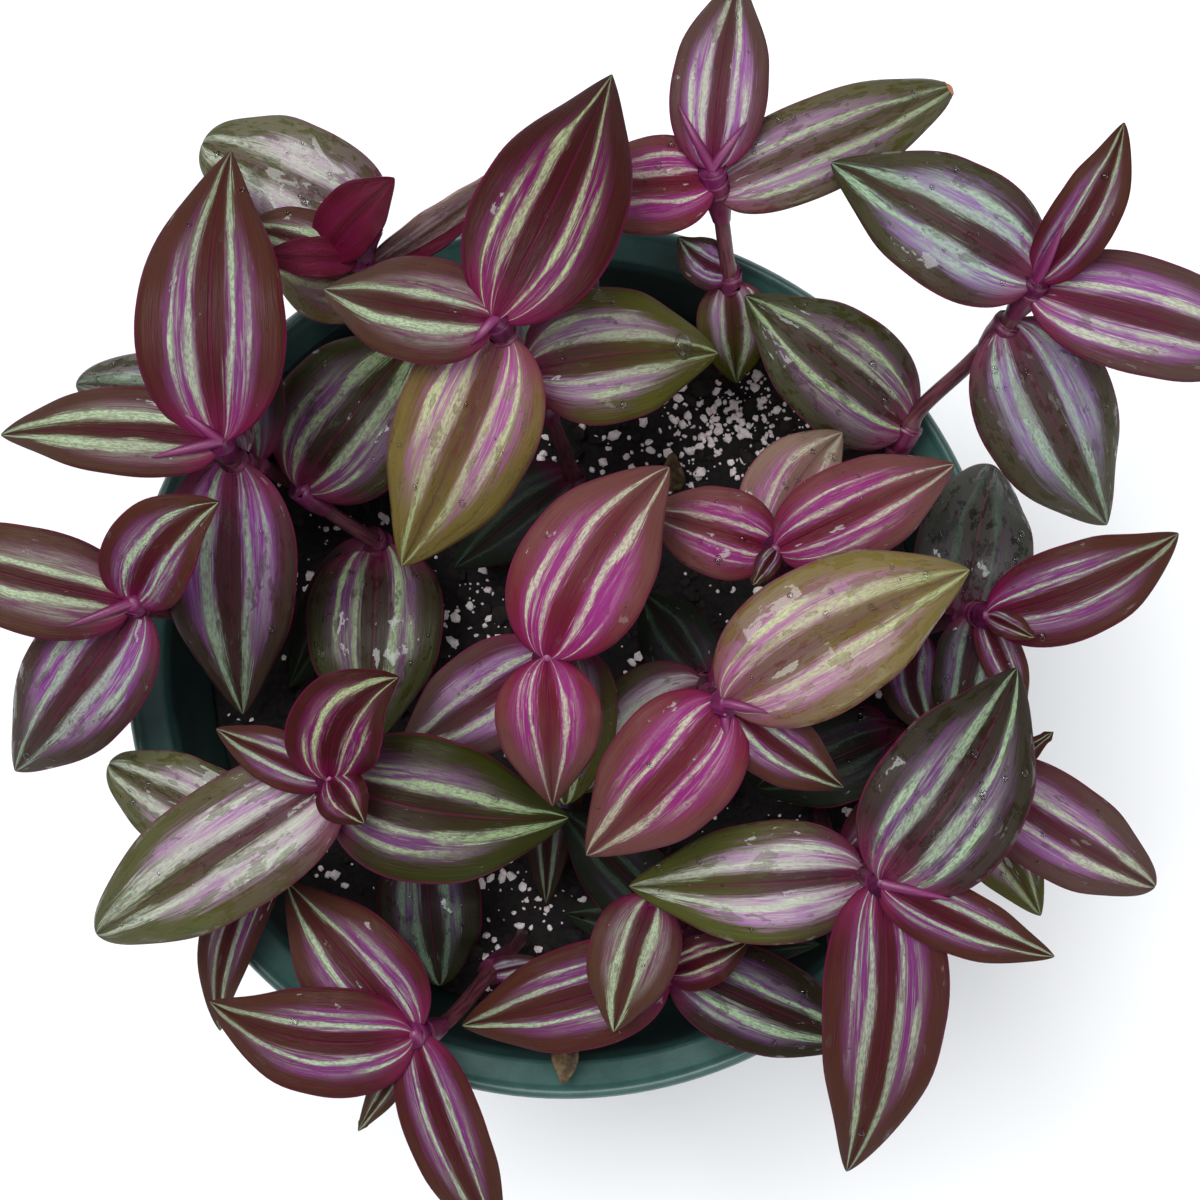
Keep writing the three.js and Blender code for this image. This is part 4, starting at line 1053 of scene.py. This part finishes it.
def sheath(bm, flow, curve, joint, radius, phase):
    """The tube that a leaf's base forms round the stem, flared at its mouth."""
    start = joint
    while start > 0 and (curve[start] - curve[joint]).length < SHEATH_LENGTH:
        start -= 1
    part = curve[start:joint + 1]
    if len(part) < 3:
        return
    radii = []
    for i in range(len(part)):
        share = i / (len(part) - 1)
        radii.append(radius * (1.0 + SHEATH_FIT * min(1, 2.2 * share) + SHEATH_FLARE * share ** 4))
    mouth = part[-1] + onward(part) * MOUTH_OUT
    inside = part[-1] - onward(part) * MOUTH_IN
    sweep(bm, flow, part + [mouth, inside], radii + [radii[-1] * 0.98, radius * 0.8], phase)


print("sheaths are up to", SHEATH_LENGTH, "mm long")

# %% [markdown]
# ## Blades
# A blade starts as a flat grid. Each of its points is then moved to its place on a form
# given by a few words: an arched and bowed midrib, an outline that swells and narrows to a
# point, a fold along the midrib, a domed cross section and a waved edge. A Solidify
# modifier gives the sheet its thickness and the crimson underside.

# %% One leaf's form
BLADE = 0.55
BLADE_DOME = 0.32
DRAWN_TIP = 0.07
DRAWN_FROM = 0.45
NARROWEST_HALF = 0.9
TIP_SHARE = 0.08
FOLD_SOFTNESS = 0.003
FOLD_DROP = 0.055
SHORT_STEP = 0.01
LONG_RIPPLE = 11
SHORT_RIPPLE = 27


class Blade:
    """The form of one leaf. at(s, v) is the point a share s along it, at v from edge to edge."""

    def __init__(self, foot, leaf, number):
        self.foot, self.leaf, self.number = foot, leaf, number
        self.along = seen(leaf["tip"]) - foot
        self.left = Vector((-self.along.y, self.along.x, 0)).normalized()
        self.lean = math.radians(leaf["roll"])
        self.flat_half = leaf["wide"] / 2 / max(0.4, abs(math.cos(self.lean)))

    def outline(self, s):
        """The half width as a share of the widest: a full belly, then a drawn-out tip."""
        belly, point = self.leaf["belly"], self.leaf["point"]
        start = point * belly / (1 - belly)
        tipward = max(0, (s - DRAWN_FROM) / (1 - DRAWN_FROM))
        drawn = 1 + DRAWN_TIP * tipward * (2 - tipward) * math.sin(2 * math.pi * tipward)
        return drawn * s ** start * (1 - s) ** point / (belly ** start * (1 - belly) ** point)

    def midrib(self, s):
        rise = 4 * s * (1 - s)
        return (self.foot + self.along * s + self.left * (self.leaf["bow"] * rise)
                + UP * (self.leaf["arch"] * rise))

    def at(self, s, v):
        """The point there, and the way out of the upper side."""
        centre = self.midrib(s)
        tangent = (self.midrib(s + SHORT_STEP) - self.midrib(s - SHORT_STEP)).normalized()
        across = Vector((-tangent.y, tangent.x, 0)).normalized()
        normal = tangent.cross(across).normalized()
        turn = Matrix.Rotation(self.lean, 3, tangent)
        across, normal = turn @ across, turn @ normal
        clamped = min(1, max(0, s))
        half = self.flat_half * closeness(centre.z - POT_HEIGHT) * self.outline(clamped)
        half = max(NARROWEST_HALF * min(1, (1 - s) / TIP_SHARE), half)
        side = math.sqrt(v * v + FOLD_SOFTNESS) - FOLD_DROP
        rise = half * (self.leaf["fold"] * side - BLADE_DOME * v * v)
        rise += self.leaf["wave"] * self.ripple(s, v) * v * v * math.sin(math.pi * clamped)
        return centre + across * (half * v) + normal * rise, normal

    def ripple(self, s, v):
        """The waves of an edge, out of step on the two sides and from leaf to leaf."""
        phase = self.number * 2.3 + (1.7 if v > 0 else 0)
        return math.sin(s * LONG_RIPPLE + phase) + 0.5 * math.sin(s * SHORT_RIPPLE + self.number)


print("blades are", BLADE, "mm thick")

# %% From grids to blades
ROWS = 44
COLUMNS = 16
LEAF_OFFSET = 0.37
COLOR_LAYERS = ("foot_band", "tip_band", "silver", "purple")


def add_blade(bm, layers, blade):
    """Adds a grid, closer near foot and tip, and moves each of its points to its place."""
    sheet = bmesh.ops.create_grid(bm, x_segments=ROWS, y_segments=COLUMNS, size=1)["verts"]
    colors, purpleness, paleness = LOOKS[blade.leaf["look"]]
    for vert in sheet:
        s = (1 - math.cos(math.pi * (vert.co.x + 1) / 2)) / 2
        v = vert.co.y
        vert[layers["flow"]] = Vector((s, v, blade.number * LEAF_OFFSET))
        vert[layers["pattern"]] = Vector((purpleness, paleness, blade.leaf["wet"]))
        for layer, color in zip(COLOR_LAYERS, colors):
            vert[layers[layer]] = color
        vert.co = blade.at(s, v)[0]
    bmesh.ops.remove_doubles(bm, verts=sheet, dist=SAME_PLACE)


def thicken(piece, thickness, under=0):
    """Gives sheets their thickness, with the finish of that number on the underside."""
    solid = piece.modifiers.new("thickness", "SOLIDIFY")
    solid.thickness = thickness * MM
    solid.offset = 0
    solid.material_offset = under
    solid.material_offset_rim = 0


print("a blade's grid has", ROWS, "by", COLUMNS, "cells")

# %% [markdown]
# ## Rolled leaf bases
# Where a leaf clasps its stem, the edges of the blade often curl up into a narrow bright
# magenta roll. Each is a thin tapered rod from the foot of the blade to a point near its
# edge, laid on the blade. The table names the shoot and leaf, and where the roll ends, as
# a share along the blade and a place from -1 to 1 across it.

# %% Rolls at the feet of the leaves
ROLLS = [
    ("left_high", 1, 0.27, 0.55), ("left_high", 1, 0.2, -0.65), ("left_edge", 0, 0.23, 0.7),
    ("back_high", 1, 0.1, 0.7), ("back_edge", 0, 0.28, 0.8), ("back_edge", 0, 0.23, -0.65),
    ("back_right_edge", 1, 0.33, 0.4), ("back_right_edge", 2, 0.2, 0.9),
    ("centre_right", 0, 0.1, -0.6), ("centre_right", 2, 0.18, -0.9),
    ("front_left", 3, 0.15, -0.6), ("front_right", 2, 0.34, 0.5),
]
ROLL_RADIUS = 0.8
ROLL_END = 0.12
ROLL_STEPS = 12
ROLL_BEND = 0.25


def add_roll(bm, flow, blade, share, side):
    curve, radii = [], []
    for i in range(ROLL_STEPS + 1):
        part = i / ROLL_STEPS
        place, normal = blade.at(share * part, side * part ** 0.7)
        lift = BLADE / 2 + 0.35 * ROLL_RADIUS + ROLL_BEND * math.sin(math.pi * part)
        curve.append(place + normal * lift)
        radii.append(ROLL_RADIUS * (1 - part ** 2.5) + ROLL_END)
    edges = sweep(bm, flow, curve, radii, blade.number)
    cap(bm, flow, edges, curve[-1] + onward(curve) * 0.3)


print(len(ROLLS), "rolls")

# %% A shoot's leaves
blades = {}


def grow_leaves(name, leaves, curves, first_number):
    """Makes a shoot's leaves as one piece. Returns, for each curve, where leaves join it."""
    joints = [[] for _ in curves]
    bm = bmesh.new()
    layers = {layer: bm.verts.layers.float_vector.new(layer) for layer in ("flow", "pattern")}
    for layer in COLOR_LAYERS:
        layers[layer] = bm.verts.layers.float_color.new(layer)
    for i, one in enumerate(leaves):
        c, place = nearest(curves, seen(one["foot"]))
        joints[c].append(place)
        blades[name, i] = Blade(curves[c][place], one, first_number + i)
        add_blade(bm, layers, blades[name, i])
    piece = finish_piece(bm, "leaves_" + name, [leaf_upper, leaf_under], "shoot_" + name)
    thicken(piece, BLADE, under=1)
    return joints


print("colours on each blade:", ", ".join(COLOR_LAYERS))

# %% A shoot's stems, sheaths and rolls
STEM_FINISHES = [stem_skin, sheath_skin, rolled_skin]
SHEATH_FINISH = 1
ROLL_FINISH = 2
YOUNG_TOP = 3.2


def grow_stems(name, curves, rooted, joints, first_number):
    """Makes a shoot's stems as one piece. The first curves, as many as rooted, are thicker."""
    bm = bmesh.new()
    flow = bm.verts.layers.float_vector.new("flow")
    for c, curve in enumerate(curves):
        radius = STEM_RADIUS if c < rooted else BRANCH_RADIUS
        edges = sweep(bm, flow, curve, stem_radii(curve, joints[c], radius), first_number + c)
        cap(bm, flow, edges, curve[-1] + onward(curve) * 0.8)
        before = set(bm.faces)
        for joint in joints[c]:
            sheath(bm, flow, curve, joint, radius, joint)
        for face in bm.faces:
            if face not in before:
                face.material_index = SHEATH_FINISH
    before = set(bm.faces)
    for shoot_name, i, share, side_place in ROLLS:
        if shoot_name == name:
            add_roll(bm, flow, blades[name, i], share, side_place)
    tops = [curve[-1] for curve in curves]
    for face in bm.faces:
        middle = face.calc_center_median()
        if face not in before or min((middle - top).length for top in tops) < YOUNG_TOP:
            face.material_index = ROLL_FINISH
    bmesh.ops.recalc_face_normals(bm, faces=bm.faces)
    finish_piece(bm, "stems_" + name, STEM_FINISHES, "shoot_" + name)


print("stem finishes:", [material.name for material in STEM_FINISHES])

# %% Growing every shoot
number = 1
for name, shoot in SHOOTS.items():
    rooted = [stem_curve(points, True) for points in shoot["stems"]]
    curves = rooted + [stem_curve(points, False) for points in shoot.get("branches", [])]
    joints = grow_leaves(name, shoot["leaves"], curves, number)
    grow_stems(name, curves, len(rooted), joints, number)
    number += len(shoot["leaves"])
print("grown:", number - 1, "leaves")

# %% [markdown]
# ## Dry scraps
# A plant sheds. A withered leaf hangs over the front of the rim, a shred of one stands in
# the potting mix at the back, and one blade has a dry orange tip. They are small blades of
# their own, curled, with a straw-coloured grain.

# %% Scraps
SCRAP_THICKNESS = 0.5
SCRAP_ROWS = 20
SCRAP_COLUMNS = 8
FIRST_SCRAP = 200

# Each scrap is a leaf of its own, with the number of its finish
SCRAPS = [
    (leaf((-1, -66, -2), (-0.5, -76.6, 1.5), 5, 3, 0.8, fold=0.9, wave=0.5), 0),
    (leaf((20, 31, -26), (19.5, 37.5, -20), 4, 1, 0.4, fold=0.9, wave=0.5), 0),
    (leaf((68.2, 102.6, 12.6), (69.9, 103.6, 12), 3.4, 0.3, 0, fold=0.2, point=0.5), 1),
]
dry_leaf = grained_material("dry_leaf", srgb(70, 50, 28), srgb(128, 102, 62),
                            scale=600, roughness=0.7, relief=0.0003)
burnt_tip = grained_material("burnt_tip", srgb(170, 92, 62), srgb(214, 140, 104),
                             scale=600, roughness=0.6, relief=0.0003)
scrap_mesh = bmesh.new()
for i, (scrap, finish) in enumerate(SCRAPS):
    before = set(scrap_mesh.faces)
    form = Blade(seen(scrap["foot"]), scrap, FIRST_SCRAP + i)
    sheet = bmesh.ops.create_grid(scrap_mesh, x_segments=SCRAP_ROWS, y_segments=SCRAP_COLUMNS,
                                  size=1)["verts"]
    for vert in sheet:
        vert.co = form.at((vert.co.x + 1) / 2, vert.co.y)[0]
    for face in scrap_mesh.faces:
        if face not in before:
            face.material_index = finish
scraps = finish_piece(scrap_mesh, "dry_scraps", [dry_leaf, burnt_tip], None)
thicken(scraps, SCRAP_THICKNESS)
print("scraps:", len(SCRAPS))

# %% [markdown]
# ## Water
# The plant has just been watered. Drops stand on some leaves as clear domes. Each is a
# small ball, flattened along the blade's own normal and sunk a little into the blade.

# %% Water
WATER_IOR = 1.33

water, tree, shader = new_material("water")
shader.inputs["Base Color"].default_value = (1, 1, 1, 1)
shader.inputs["Roughness"].default_value = 0.02
shader.inputs["IOR"].default_value = WATER_IOR
shader.inputs["Transmission Weight"].default_value = 1.0
set_bump(tree, shader, stretched_noise(tree, object_place(tree), (700, 700, 700), 1), 0.00004)
print("water bends light by", WATER_IOR)

# %% Drops
DROPS_WHEN_SOAKED = 26
SMALLEST_DROP = 0.5
DROP_RANGE = 1.1
DROP_LIFT = 0.18


def add_drop(bm, blade, s, v, size, detail=2):
    """Lays a flattened ball of that size on a blade, at s along it and v across."""
    place, normal = blade.at(s, v)
    lie = UP.rotation_difference(normal).to_matrix().to_4x4()
    ball = bmesh.ops.create_icosphere(bm, subdivisions=detail, radius=0.5)["verts"]
    at = Matrix.Translation(place + normal * (BLADE / 2 + DROP_LIFT * size[2]))
    bmesh.ops.transform(bm, matrix=at @ lie @ Matrix.Diagonal((*size, 1)), verts=ball)


draw = random.Random(5)
drop_mesh = bmesh.new()
add_drop(drop_mesh, blades["back_high", 3], 0.8, 0.1, (3.5, 4.5, 2.2), detail=4)
for blade in blades.values():
    for _ in range(int(blade.leaf["wet"] * DROPS_WHEN_SOAKED)):
        size = SMALLEST_DROP + DROP_RANGE * draw.random() ** 3
        place = (draw.uniform(0.12, 0.92), draw.uniform(-0.85, 0.85))
        add_drop(drop_mesh, blade, *place, (size, size * draw.uniform(0.8, 1.3), size * 0.5))
print("drops of water:", len(drop_mesh.faces), "faces")
finish_piece(drop_mesh, "water_drops", [water], None)

# %% [markdown]
# ## The floor
# The photo has a plain white ground. A large pale disc stands for it.

# %% Floor
FLOOR_RADIUS = 4
FLOOR_SIDES = 96

floor_finish, tree, shader = new_material("pale_floor")
shader.inputs["Base Color"].default_value = (0.9, 0.9, 0.9, 1)
shader.inputs["Roughness"].default_value = 0.9
floor_mesh = bmesh.new()
bmesh.ops.create_circle(floor_mesh, segments=FLOOR_SIDES, radius=FLOOR_RADIUS, cap_ends=True)
floor = bpy.data.objects.new("floor", bpy.data.meshes.new("floor"))
floor_mesh.to_mesh(floor.data)
floor_mesh.free()
floor.data.materials.append(floor_finish)
bpy.context.scene.collection.objects.link(floor)
print("floor radius", FLOOR_RADIUS, "m")
